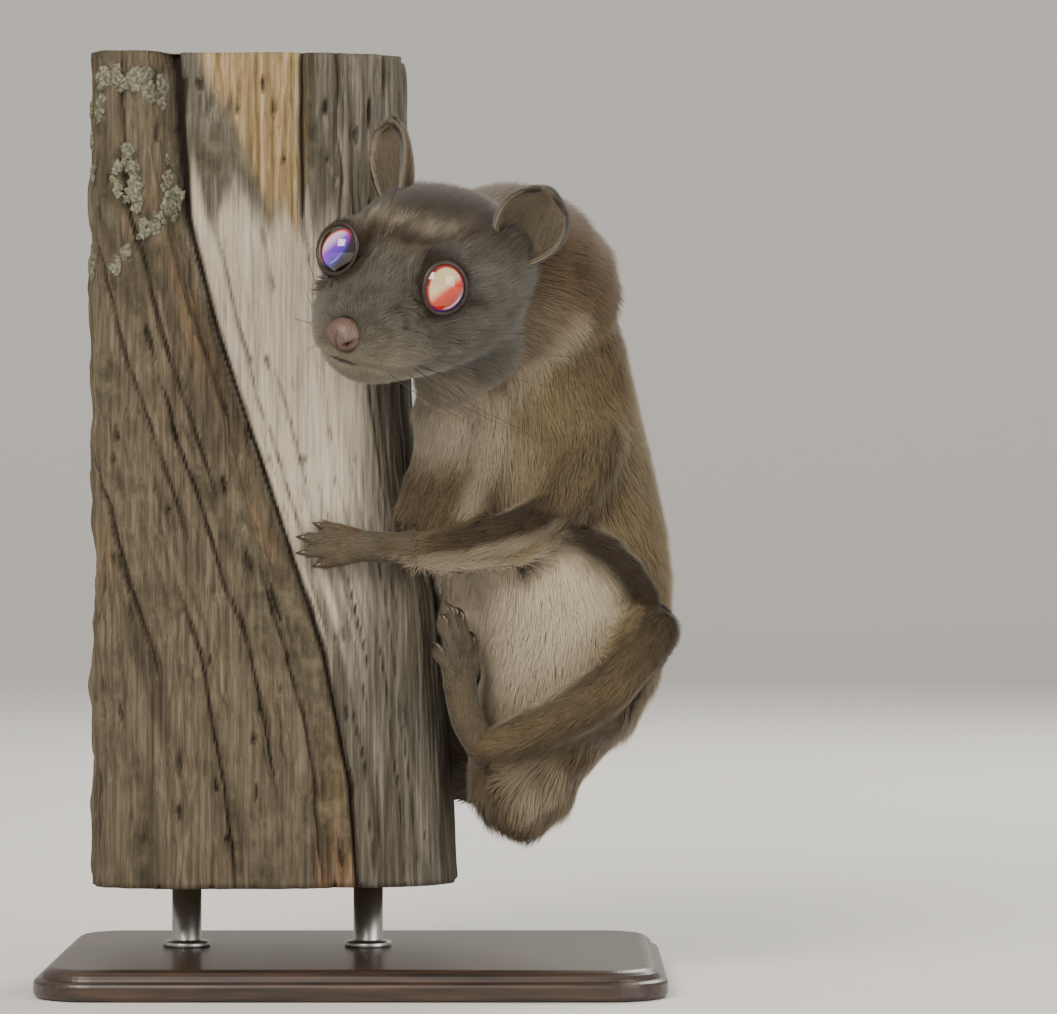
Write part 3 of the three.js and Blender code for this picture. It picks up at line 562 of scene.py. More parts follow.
# Grey-green crust with a paler, dusty surface, grained up to 0.7 mm coarse.
place = add(tree, "TexCoord")
dust = noise(tree, place, 1400.0, 4.0)
tone = tone_run(tree, dust, [(0.3, "#47473c"), (0.5, "#6b6a5b"), (0.7, "#918d7c")])
crumbs = relief(tree, dust, 0.7, 0.0003)
finish(tree, {
    "Base Color": tone, "Roughness": 0.95, "Specular IOR Level": 0.1, "Normal": crumbs,
})
flakes = mesh_object("lichen_flakes", np.concatenate(flake_points), np.concatenate(flake_faces), crust)
dress(flakes, "weathered_wood")

# Hide
# One skin over the whole animal but the paws, from lips to tail root, lying under the coat by the
# fur's depth. The limbs, trunk and gliding folds are fused, eased into each other and drawn in, and
# the face is modelled on it.
TRUNK_PATH = [
    (34, -14, 142), (35, -12, 132), (36.5, -8.5, 119), (39, -6, 105), (42, -4.5, 90), (43.5, -3.5, 75),
    (41.5, -3, 61), (37, -2.5, 48), (35, -3, 37), (34.5, -3, 30.5),
]
# The kind of coat on each part, and the path that its hair follows
ANIMAL = {
    "head": ("face", [(0, 0, 0), (1, 0, 0)]),
    "torso": ("trunk", TRUNK_PATH),
    "neck": ("ruff", [(15, -34, 142), (22, -27, 143), (30, -19, 141), (35, -13, 134), (38, -8, 122)]),
    "upper_arm_left": ("arm", [(45, -13, 118), (46, -20, 108), (42.5, -26, 98.5)]),
    "upper_arm_right": ("arm", [(31, 0, 116), (26, 7, 108), (21.5, 11, 100)]),
    "thigh_left": ("arm", [(44, -8, 58), (51.5, -15.5, 65.5), (58.5, -22, 71.5)]),
    "thigh_right": ("arm", [(38, 1, 58), (33, 10, 64), (29, 17.5, 72)]),
    "forearm_left": ("shank", [(43.5, -26, 98), (36, -27.5, 93), (24, -27, 88.8), (6, -23.8, 87.6)]),
    "forearm_right": ("shank", [(21.5, 10.5, 98.5), (19.5, 13.5, 106), (17, 16, 115), (15.6, 17, 120)]),
    "shin_left": ("shank", [(60, -23.5, 72), (54, -23.5, 63.5), (47, -22.5, 57), (38, -20, 52),
                            (26, -17, 48)]),
    "shin_right": ("shank", [(28, 18, 73), (27.5, 18.5, 66), (26, 18, 57), (24, 17, 51)]),
    "propatagium_left": ("fold", [(27, -19, 130), (23, -21.5, 116), (22, -22.5, 106), (15, -24, 88)]),
    "patagium_left": ("fold", [(12, -24.6, 84), (33, -26.5, 85.6), (43, -26.8, 90.4), (50.5, -25, 87),
                               (58, -22.5, 77.5), (59, -26.5, 69)]),
    "patagium_right": ("fold", [(20, 13, 95), (25, 16, 88), (29, 17.5, 78), (27, 20, 68)]),
}
KINDS = ["face", "ruff", "trunk", "arm", "shank", "paw", "fold"]
# How far each kind's flesh eases into its neighbours, and how deep its coat is
EASING = {"face": 0.45, "ruff": 1, "trunk": 1, "arm": 1, "shank": 0.8, "paw": 0.3, "fold": 0.6}
COAT_DEPTH = {"face": 1.3, "ruff": 2.3, "trunk": 2.3, "arm": 1.8, "shank": 1.1, "paw": 0.45, "fold": 0.9}
# Flesh that fills the bend between shin, thigh and rump and the one between jaw and neck, as places
# and radii
FILLING = [
    (50, -15, 57, 7.5), (44, -12, 51, 8), (38, -11, 45, 8.5), (33, -11, 41, 8),
    (33, -25, 142, 10), (30, -27, 134, 10), (25, -30, 128, 9), (19, -30, 123, 8),
    (25, -4, 84, 9.7), (26, -3, 76, 10.8), (24.5, -5, 93, 9), (42.5, -9, 131, 11.5), (40, -4, 133, 12),
]
# Where the hide ends, at hands and feet
WRISTS = [(12, -24.6, 87.7), (16.2, 16.6, 116), (27, -17.2, 46.5), (24.2, 17, 49)]

# The head's own frame: x to the nose, y to its left, z up
HEAD_AT = np.array([12.9, -38.0, 141.0])
HEAD_WAY = np.array(Euler([math.radians(a) for a in (-17.1, 17, -128.8)], "XYZ").to_matrix())
EYE_RADIUS = 5.8
# Each eye's place in the head, the way that its lids open, and how far they open towards the nose,
# up, back and down, in degrees from that way
EYES = {
    "left": {"at": (8.0, 11.3, 2.9), "look": (0.53, 0.83, 0.16), "open": (46, 57, 49, 58)},
    "right": {"at": (7.6, -11.0, 3.6), "look": (0.91, -0.09, 0.36), "open": (57, 58, 58, 55)},
}
# The lids stand out of the eye by their thickness, and the hide runs under its ball.
LID = {"thick": 0.4, "under": 0.8}
MUZZLE_END, NOSE_CLEAR = (21.3, 0, -6.8), (3.1, 3.9, 3.5)
NOSE_AT, NOSE_HALF = (21.5, 0.0, -6.8), (3.0, 3.8, 3.4)
# Where the hair of the head begins to part
PARTING = (24, 0, -8)
# The mouth's crease: its front, height and slope in the head, its half width and depth
MOUTH = {"front": 21.5, "height": -12.0, "slope": 0.2, "wide": 0.55, "deep": 0.6}


def from_head(points):
    """Places in the head's frame, put in the model's."""
    return np.asarray(points, float) @ HEAD_WAY.T + HEAD_AT


def to_head(points):
    """Places in the model, seen in the head's frame."""
    return (np.asarray(points, float) - HEAD_AT) @ HEAD_WAY


def unit(vectors):
    """Vectors made one long."""
    return vectors / np.maximum(np.linalg.norm(vectors, axis=-1, keepdims=True), 1e-9)


def ball(centre, radius, segments=24, rows=16):
    """Points and triangles of a ball."""
    turn = np.linspace(0, 2 * np.pi, segments, endpoint=False)
    rings = [
        np.stack([np.sin(tilt) * np.cos(turn), np.sin(tilt) * np.sin(turn),
                  np.full(segments, -np.cos(tilt))], -1) * radius + centre
        for tilt in np.linspace(0, np.pi, rows + 1)[1:-1]
    ]
    return shell(rings, np.add(centre, (0, 0, -radius)), np.add(centre, (0, 0, radius)))


def cad_parts(nodes, swell):
    """Merged copies of CAD nodes, in millimetres and grown a little, with each face's node."""
    points, faces, owner, start = [], [], [], 0
    for number, node in enumerate(nodes):
        part = bmesh.new()
        part.from_mesh(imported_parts[node].data)
        bmesh.ops.remove_doubles(part, verts=part.verts, dist=1e-6)
        part.normal_update()
        part.verts.index_update()
        points += [list((v.co + v.normal * swell / 1000) * 1000) for v in part.verts]
        faces += [[v.index + start for v in f.verts] for f in part.faces]
        owner += [number] * len(part.faces)
        start = len(points)
        part.free()
    return np.array(points), np.array(faces), np.array(owner)


def fused(name, bodies, voxel):
    """The outer surface of overlapping closed bodies as even quads: points, triangles and edges."""
    starts = np.cumsum([0] + [len(body[0]) for body in bodies[:-1]])
    rough = mesh_object(name, np.concatenate([body[0] for body in bodies]),
                        np.concatenate([body[1] + start for body, start in zip(bodies, starts)]), card)
    remesh = rough.modifiers.new("fuse", "REMESH")
    remesh.mode = "VOXEL"
    remesh.voxel_size = voxel / 1000
    depsgraph = bpy.context.evaluated_depsgraph_get()
    mesh = bpy.data.meshes.new_from_object(rough.evaluated_get(depsgraph))
    bpy.data.objects.remove(rough)
    found = np.empty(len(mesh.vertices) * 3, np.float32)
    mesh.vertices.foreach_get("co", found)
    edges = np.empty(len(mesh.edges) * 2, np.int32)
    mesh.edges.foreach_get("vertices", edges)
    corners = np.empty(len(mesh.loops), np.int32)
    mesh.loops.foreach_get("vertex_index", corners)
    bpy.data.meshes.remove(mesh)
    quads = corners.reshape(-1, 4)
    triangles = np.concatenate([quads[:, [0, 1, 2]], quads[:, [0, 2, 3]]])
    return found.reshape(-1, 3).astype(float) * 1000, triangles, edges.reshape(-1, 2)


def relax(values, edges, rounds, share=0.7):
    """Values at points, evened out along the edges between them."""
    values = np.array(values, float)
    count = np.bincount(edges.ravel(), minlength=len(values))
    share = np.broadcast_to(np.asarray(share, float), len(values))[:, None]
    for _ in range(rounds):
        total = np.stack([
            np.bincount(edges[:, 0], column[edges[:, 1]], len(values))
            + np.bincount(edges[:, 1], column[edges[:, 0]], len(values))
            for column in values.T
        ], -1)
        values += share * (total / count[:, None] - values)
    return values


def normals_of(points, triangles):
    """Outward directions at the points of a surface."""
    a, b, c = (points[triangles[:, k]] for k in range(3))
    flat = np.cross(b - a, c - a)
    total = np.stack([
        sum(np.bincount(triangles[:, k], flat[:, axis], len(points)) for k in range(3)) for axis in range(3)
    ], -1)
    return unit(total)


def along_path(points, path):
    """The way that a path runs, at the places nearest to points."""
    path = np.asarray(path, float)
    starts, steps = path[:-1], np.diff(path, axis=0)
    reach = points[:, None] - starts
    share = np.clip((reach * steps).sum(-1) / (steps ** 2).sum(-1), 0, 1)
    distance = np.linalg.norm(reach - share[..., None] * steps, axis=-1)
    weight = 1 / (distance - distance.min(1, keepdims=True) + 1.5) ** 3
    return unit((weight[..., None] * unit(steps)).sum(1))


def square_to(ways, outward):
    """Ways laid along a surface."""
    return unit(ways - (ways * outward).sum(-1, keepdims=True) * outward)


def lid_opening(eye, turn):
    """How far the lids open, in radians from their way, at an angle round it from the nose."""
    nose, top, back, under = np.radians(eye["open"])
    along = np.where(np.cos(turn) > 0, nose, back)
    beside = np.where(np.sin(turn) > 0, top, under)
    return 1 / np.sqrt((np.cos(turn) / along) ** 2 + (np.sin(turn) / beside) ** 2)


def lid_axes(eye):
    """The way that the lids open, the way towards the nose and the way up, in the head's frame."""
    look = unit(np.array(eye["look"]))
    top = unit(np.array([0, 0, 1]) - look * look[2])
    return look, np.cross(look, top) * np.sign(eye["at"][1]), top


def from_lid(eye, places):
    """Each place's distance from the eye's centre and its angle past the lid's edge, in degrees."""
    look, nose, top = lid_axes(eye)
    reach = places - eye["at"]
    distance = np.linalg.norm(reach, axis=-1)
    ray = unit(reach)
    turn = np.arctan2(ray @ top, ray @ nose)
    return distance, np.degrees(np.arccos(np.clip(ray @ look, -1, 1)) - lid_opening(eye, turn))


# Copies of the CAD flesh grow by this much, so that they overlap across the gaps between them.
CAD_SWELL, HIDE_VOXEL = 0.2, 0.6
nodes = list(ANIMAL)
cad_points, cad_faces, cad_owner = cad_parts(nodes, CAD_SWELL)
eye_balls = [ball(from_head(eye["at"]), EYE_RADIUS) for eye in EYES.values()]
filling = [ball(place[:3], place[3]) for place in FILLING]
hide, hide_faces, hide_edges = fused(
    "hide_rough", [(cad_points, cad_faces)] + eye_balls + filling, HIDE_VOXEL)
tree_of_parts = BVHTree.FromPolygons(cad_points.tolist(), cad_faces.tolist())
owner = np.array([cad_owner[tree_of_parts.find_nearest(p)[2]] for p in hide.tolist()])
kind_of = np.array([KINDS.index(ANIMAL[node][0]) for node in nodes])[owner]
kinds = relax(np.eye(len(KINDS))[kind_of], hide_edges, 14)
kinds = np.clip(kinds, 0, 1) / kinds.sum(1, keepdims=True)


def by_kind(table):
    """A value for each point of the hide from a table by kind of coat."""
    return kinds @ np.array([table[kind] for kind in KINDS])


back_of_head = rise(-to_head(hide)[:, 0], -2, 8) * kinds[:, 0]
hide = relax(hide, hide_edges, 30, 0.65 * np.maximum(by_kind(EASING), back_of_head))
hide_out = normals_of(hide, hide_faces)
in_head = to_head(hide)
near_nose = 1 - rise(np.linalg.norm(in_head - MUZZLE_END, axis=1), 3, 11)
depth = by_kind(COAT_DEPTH) * (1 - 0.7 * near_nose)
depth = relax(depth[:, None], hide_edges, 10)[:, 0]
hide = hide - hide_out * depth[:, None]

# The face: whisker pads, chin, the dip before the eyes, brows and cheeks, as a place in the head, its
# size and how far it stands out
FACE_FORMS = [
    ((19, 5.5, -9.5), 4.2, 0.9), ((16, 8.5, -8), 5, 0.6), ((16, 0, -17), 4.5, 0.5),
    ((15, 5.5, 1.5), 4.5, -1.1), ((15.5, 0, 2.5), 3.6, -0.3), ((6, 8.5, 10.5), 4.5, 0.7),
    ((-3, 17, -6), 7.5, 0.9), ((12, 12.5, -4.5), 4, -0.5),
]
in_head = to_head(hide)
mirrored = np.stack([in_head[:, 0], np.abs(in_head[:, 1]), in_head[:, 2]], -1)
out_in_head = hide_out @ HEAD_WAY
face_share = kinds[:, 0]
for place, size, height in FACE_FORMS:
    bump = height * np.exp(-(((mirrored - place) / size) ** 2).sum(-1))
    in_head += out_in_head * (bump * face_share)[:, None]
mouth_line = in_head[:, 2] - MOUTH["height"] - (in_head[:, 0] - MOUTH["front"]) * MOUTH["slope"]
mouth_span = rise(in_head[:, 0], 15.5, 18) * face_share
crease = np.exp(-((mouth_line / MOUTH["wide"]) ** 2)) * mouth_span
in_head -= out_in_head * (MOUTH["deep"] * crease)[:, None]
# The lids hug the eyes, and inside them the hide runs under the ball.
for eye in EYES.values():
    distance, past = from_lid(eye, in_head)
    low = EYE_RADIUS - LID["under"] + (LID["thick"] + LID["under"]) * rise(past, -4, 3)
    high = EYE_RADIUS + LID["thick"] + 0.035 * np.maximum(past - 4, 0)
    loose = rise(past, 20, 45) * 20
    wanted = np.clip(distance, low, np.maximum(high + loose, low))
    wanted = np.where(past < -2, low, wanted)
    close = distance < EYE_RADIUS + 6
    in_head = np.where(close[:, None], eye["at"] + unit(in_head - eye["at"]) * wanted[:, None], in_head)
hide = np.where(face_share[:, None] > 0.02, from_head(in_head), hide)
hide_out = normals_of(hide, hide_faces)
in_head = to_head(hide)
lid_past = np.min([from_lid(eye, in_head)[1] + 100 * (from_lid(eye, in_head)[0] > EYE_RADIUS + 5)
                   for eye in EYES.values()], axis=0)

# The way the hair lies: back from the nose over the head, parting round the eyes, along each limb
# and down the trunk
lie = np.zeros_like(hide)
for number, node in enumerate(nodes):
    mine = owner == number
    if node != "head":
        lie[mine] = along_path(hide[mine], ANIMAL[node][1])
head_lie = unit(in_head - PARTING)
for eye in EYES.values():
    away = unit(in_head - eye["at"])
    close = 1 - rise(from_lid(eye, in_head)[1], 4, 60)
    close *= np.linalg.norm(in_head - eye["at"], axis=1) < EYE_RADIUS + 5
    look = unit(np.array(eye["look"]))
    away = unit(away - (away @ look)[:, None] * look)
    against = np.minimum((head_lie * away).sum(-1, keepdims=True), 0)
    head_lie = head_lie + close[:, None] * (0.6 - against) * away
lie[owner == 0] = (unit(head_lie) @ HEAD_WAY.T)[owner == 0]
lie = relax(lie, hide_edges, 12)
lie = square_to(lie, hide_out)


# The ways that the pale belly and the rufous nape face, the course of a pale streak over the shoulder
# as seen from the front, and the place of the painted shade in the notch under the near ear
BELLY_WAY, NAPE_WAY = np.array([-0.788, -0.616, 0]), np.array([0.7, -0.3, 0.6])
STREAK = [(41.8, 134.2), (37, 127), (29, 117), (27, 105), (24, 97)]
EAR_NOTCH_SHADE = (-8.5, 16.8, 5.5)


def markings(points, outward, kinds):
    """How pale, grey, dark and rufous the animal is at each place, from 0 to 1."""
    x, y, z = points.T
    share = dict(zip(KINDS, kinds.T))
    places = to_head(points)
    hx, hy, hz = places.T
    blend = 0.5 * drift(points, (5, 5, 5), 21) + 0.5 * drift(points, (2, 2, 2), 22)
    pale = share["trunk"] * rise(outward @ BELLY_WAY + 0.12 * blend, -0.12, 0.22)
    pale *= (1 - 0.85 * rise(z + 3 * blend, 86, 104)) * rise(z, 46, 55)
    pale *= 1 - 0.85 * rise(z - 98 + 1.4 * (x - 43) + 3 * blend, 0, 8)
    chin = share["face"] * rise(-hz + 0.35 * hx + 1.5 * blend, 16, 20)
    mask = share["face"] * rise(hx + 3 * blend, -20, -8)
    breast = share["fold"] * rise(z, 88, 94) * (1 - rise(z + 5 * blend, 104, 116))
    breast *= rise(x + 3 * blend, 7, 14)
    # Painted shade: the belly is less pale and darker just above the leg, where belly and leg meet.
    shade_over_leg = 1 - rise(z - 52 - 0.69 * (x - 26), 2, 13)
    line = np.min([
        np.hypot(x - (a[0] + t * (b[0] - a[0])), z - (a[1] + t * (b[1] - a[1])))
        for a, b in zip(STREAK, STREAK[1:]) for t in np.linspace(0, 1, 6)
    ], axis=0)
    streak = (1 - rise(line, 0.8, 3.6)) * rise(-y, 8, 16) * 0.3
    brow = share["face"] * np.exp(-(((hz - 10.2) / 1.2) ** 2)) * rise(hx, -4, 1) * 0.3
    fleck = drift(points, (1.4, 1.4, 1.4), 23)
    brow *= (1 - rise(np.abs(hy), 8, 12)) * (0.8 + 0.5 * fleck)
    temple = share["face"] * np.exp(-(((hx + 3) / 4.5) ** 2) - ((np.abs(hy) - 15.6) / 5) ** 2
                                    - ((hz - 9.5) / 3.5) ** 2)
    pads = share["face"] * np.exp(-((hx - 19) / 5) ** 2 - ((hz + 10) / 3.5) ** 2) * 0.2
    wrist = np.max([1 - rise(np.linalg.norm(points - place, axis=1), 3, 12) for place in WRISTS], axis=0)
    hem = share["shank"] * (0.4 + 0.5 * rise(z, 60, 80)) * (1 - 0.4 * wrist)
    hem_edge = share["fold"] * (1 - rise(z, 88, 100)) * (0.3 + 0.7 * rise(z, 62, 72))
    hem = hem + hem_edge * np.maximum(rise(x, 36, 43), rise(y, 0, 5))
    rump = np.exp(-(((x - 39) / 7) ** 2) - ((z - 40) / 5) ** 2) * rise(-outward[:, 1], 0.1, 0.7)
    lore = np.exp(-((hx - 15 + 0.6 * (np.abs(hy) - 7)) / 3) ** 2 - ((np.abs(hy) - 7) / 3) ** 2
                  - ((hz + 2.5) / 3) ** 2) * share["face"]
    under_arm = share["shank"] + 1.3 * share["fold"] * (1 - rise(x, 34, 42)) * (1 - rise(z, 88, 94))
    under_arm *= rise(-outward[:, 2], 0.2, 0.75) * rise(z, 70, 80) * 0.5
    throat = share["fold"] * rise(z, 102, 112) + share["ruff"] * rise(-z, -132, -122) * rise(-x, -32, -24)
    throat *= 1 - 0.7 * rise(x + 4 * blend, 20, 30)
    pale *= 1 - 0.45 * shade_over_leg
    ochre = rise(drift(points, (4, 4, 7), 24) + 0.4 * fleck, 0.1, 0.9)
    ochre = ochre * (1 - share["face"]) * (1 - 0.8 * pale)
    pale = np.clip(pale + 0.2 * chin + streak + brow + pads + under_arm + 0.5 * throat + 0.5 * rump, 0, 1)
    # The crown is rufous brown, and is darkened beyond its own tone as painted shade on the top of the
    # head, where the light struck at a low angle.
    crown_and_painted_shade = rise(hz + 0.25 * hx + 1.2 * blend, 8.5, 11.5) * share["face"] * (1 - 2 * brow)
    grey = mask * (1 - 0.8 * crown_and_painted_shade) + share["ruff"] * rise(-y + 0.4 * blend, 18, 30) * 0.5
    grey = np.clip(grey + 0.8 * throat + 0.6 * share["paw"], 0, 1)
    lid_gaps = [from_lid(eye, places) for eye in EYES.values()]
    ring = np.max([
        (1 - rise(past + 6 * blend, 6, 26)) * (distance < EYE_RADIUS + 4) for distance, past in lid_gaps
    ], axis=0)
    dark = 0.85 * ring * share["face"] + hem + crown_and_painted_shade + 0.4 * lore + 0.28 * share["paw"] + 0.75 * temple
    dark = dark + 0.2 * rise(fleck, 0.1, 0.8) + share["face"] * (0.28 - 0.4 * fleck) + 0.6 * breast
    # A dark spot on the face's fur under the near ear is painted shade in the notch between ear and head.
    notch_shade = np.exp(-((places - EAR_NOTCH_SHADE) ** 2).sum(-1) / 7)
    dark = dark + 0.3 * share["ruff"] * rise(z, 148, 158) + 0.12 * shade_over_leg * share["trunk"] + 0.9 * notch_shade
    elbow = share["arm"] * rise(z, 90, 100) * (1 - rise(z, 106, 118))
    dark = np.clip(dark + 0.45 * elbow, 0, 1) * (1 - under_arm)
    nape = (share["ruff"] + share["trunk"]) * rise(outward @ NAPE_WAY, 0.0, 0.7)
    nape *= rise(x, 22, 34) * rise(z + 6 * blend, 112, 142) * 0.85
    dark = np.clip(dark + 0.6 * nape, 0, 1)
    rufous = np.clip(0.7 * nape + 0.3 * crown_and_painted_shade + 0.3 * ochre * (1 - 0.7 * breast), 0, 1)
    return {"pale": pale, "grey": grey, "dark": dark, "rufous": rufous}


# Root and tip tones of each sort of hair
HAIR = {
    "brown": ("#3b3328", "#89785a"), "grey": ("#34322d", "#737066"), "rufous": ("#3a2a1c", "#84643e"),
    "dark": ("#17120d", "#3d3327"), "pale": ("#a3957c", "#cdc0a8"),
}


def fur_tones(tree):
    """The coat's colour from its markings, each tone running from the hair's root to its tip."""
    tip = kept_number(tree, "tip")
    layer = None
    for name, (root, end) in HAIR.items():
        tone = laid_over(tree, tip, colour(root), colour(end))
        if layer:
            share = kept_number(tree, name)
            tone = laid_over(tree, share, layer, tone)
        layer = tone
    # Neighbouring hairs differ a little in brightness, and none by more than 28 % from its tone.
    chance = kept_number(tree, "chance")
    lighter = add(tree, "MapRange", {}, {"Value": chance, "To Min": 0.72, "To Max": 1.28})
    return add(tree, "HueSaturation", {}, {"Color": layer, "Value": lighter})


under, tree = material("tanned hide with underfur")
# Woolly underfur shows between the guard hairs, in the same markings but nearer the hairs' roots.
place = add(tree, "TexCoord")
wool = noise(tree, place, 2200.0, 4.0)
nap = relief(tree, wool, 0.7, 0.0004)
finish(tree, {
    "Base Color": fur_tones(tree), "Roughness": 0.95, "Specular IOR Level": 0.1, "Normal": nap,
})


def unwrapped(piece):
    """Gives a piece an unwrap of its own shape, and each triangle's corners on it."""
    piece.data.uv_layers.new(name="OFBake")
    bpy.context.view_layer.objects.active = piece
    piece.select_set(True)
    bpy.ops.object.mode_set(mode="EDIT")
    bpy.ops.mesh.select_all(action="SELECT")
    bpy.ops.uv.smart_project(angle_limit=math.radians(66), island_margin=0.001)
    bpy.ops.object.mode_set(mode="OBJECT")
    piece.select_set(False)
    corners = np.empty(len(piece.data.loops) * 2, np.float32)
    piece.data.uv_layers["OFBake"].data.foreach_get("uv", corners)
    return corners.reshape(-1, 3, 2).astype(float)


def furred(name, points, triangles, outward, kinds, tip=0.35):
    """A piece of hide with the coat's markings on it."""
    piece = mesh_object(name, points, triangles, under)
    for mark_name, values in markings(points, outward, kinds).items():
        mark(piece, mark_name, values)
    mark(piece, "tip", np.full(len(points), tip))
    mark(piece, "chance", np.full(len(points), 0.5))
    return piece


skin = furred("squirrel_hide", hide, hide_faces, hide_out, kinds)
mark(skin, "crease", crease)
dress(skin, "fur_brown", *nodes)
hide_map = unwrapped(skin)

# Coat
# Soft fur in thin tapered tufts that root in the hide, follow the lie of the coat and gather into
# small locks. They are shortest on the muzzle and longest on the trunk. Density is in tufts to the
# square millimetre, and spread is in radians.
COAT = {
    "face": {"density": 19, "length": 4.2, "width": 0.2, "spread": 0.13},
    "ruff": {"density": 12, "length": 6.4, "width": 0.3, "spread": 0.12},
    "trunk": {"density": 10.5, "length": 7.0, "width": 0.34, "spread": 0.1},
    "arm": {"density": 12, "length": 5.6, "width": 0.3, "spread": 0.13},
    "shank": {"density": 13, "length": 3.6, "width": 0.24, "spread": 0.12},
    "paw": {"density": 13, "length": 1.9, "width": 0.18, "spread": 0.16},
    "fold": {"density": 12, "length": 4.2, "width": 0.28, "spread": 0.13},
}
PIECE_TRIANGLES, TUFT_TRIANGLES = 190000, 4
# Neighbouring tufts draw together within locks this wide. Each tuft has a small patch of the unwrap.
LOCK, TUFT_PATCH = 2.4, 0.003
EAR_ROOTS = {"ear_left": (-11, 14.5, 4), "ear_right": (-11, -13, 7)}
KNEE = (55, -22, 72)
chance = np.random.default_rng(12)


def tufts(name, roots, outward, lie, size, uv, marks, rows=1, bend=None):
    """Three-sided tapered tufts in one mesh. Size holds each one's length, half width and lift."""
    length, width, lift = (column[:, None, None] for column in size.T)
    side = np.cross(outward, lie)
    share = np.linspace(0, 1, rows + 1)[:-1]
    s = share[None, :, None]
    bend = np.zeros_like(roots) if bend is None else bend
    spine = roots[:, None] + lie[:, None] * length * s + outward[:, None] * lift * (2 * s - s * s)
    spine = spine + bend[:, None] * s * s
    half = width * (1 - 0.35 * s)
    ring = np.stack([
        spine + side[:, None] * half, spine + outward[:, None] * half * 0.55, spine - side[:, None] * half,
    ], 2).reshape(len(roots), rows * 3, 3)
    tip = roots + lie * length[:, 0] + outward * lift[:, 0] + bend
    points = np.concatenate([ring, tip[:, None]], 1)
    each = rows * 3 + 1
    last = (rows - 1) * 3
    pattern = [[last, last + 1, each - 1], [last + 1, last + 2, each - 1], [last + 2, last, each - 1],
               [2, 1, 0]]
    if rows > 1:
        pattern = np.concatenate([ring_faces(rows, 3), pattern])
    faces = (np.array(pattern)[None] + np.arange(len(roots))[:, None, None] * each).reshape(-1, 3)
    piece = mesh_object(name, points.reshape(-1, 3), faces, fur)
    # The light falls on the coat as on one soft surface, a little rounded across each tuft.
    across = side[:, None] * np.array([0.45, 0, -0.45])[None, :, None]
    soft = np.tile(unit(outward[:, None] + 0.15 * lie[:, None] + across), (1, rows, 1))
    soft = np.concatenate([soft, unit(outward + 0.15 * lie)[:, None]], 1)
    piece.data.normals_split_custom_set_from_vertices(soft.reshape(-1, 3))
    along = np.append(np.repeat(share, 3), 1)
    mark(piece, "tip", np.tile(0.15 + 0.85 * along, len(roots)))
    for mark_name, values in marks.items():
        mark(piece, mark_name, np.repeat(values, each))
    beside = np.append(np.tile([TUFT_PATCH / 2, 0, -TUFT_PATCH / 2], rows), 0)
    patch = np.stack([beside, TUFT_PATCH * along], -1)
    spots = (uv[:, None] + patch).reshape(-1, 2)
    piece.data.uv_layers.new(name="OFBake").data.foreach_set(
        "uv", spots[faces.ravel()].astype(np.float32).ravel())
    return piece


def scatter(points, triangles, density):
    """Random places on a surface: the triangle of each and its shares of the three corners."""
    a, b, c = (points[triangles[:, k]] for k in range(3))
    area = np.linalg.norm(np.cross(b - a, c - a), axis=1) / 2
    total = np.cumsum(area * density[triangles].mean(1))
    pick = np.searchsorted(total, np.arange(int(total[-1])) + chance.random(int(total[-1])))
    pick = np.minimum(pick, len(triangles) - 1)
    u, v = chance.random((2, len(pick)))
    flip = u + v > 1
    u, v = np.where(flip, 1 - u, u), np.where(flip, 1 - v, v)
    return pick, np.stack([1 - u - v, u, v], -1)


def at_places(values, triangles, pick, shares):
    """Values of a surface's points, at random places on it."""
    return (values[triangles[pick]] * shares[..., None]).sum(1)


fur, tree = material("soft guard hair over underfur")
# Each hair is dark at its root, so partings show dark, and its tip takes the coat's tone.
finish(tree, {
    "Base Color": fur_tones(tree), "Roughness": 0.8, "Specular IOR Level": 0.15,
    "Sheen Weight": 0.2, "Sheen Roughness": 0.5,
})


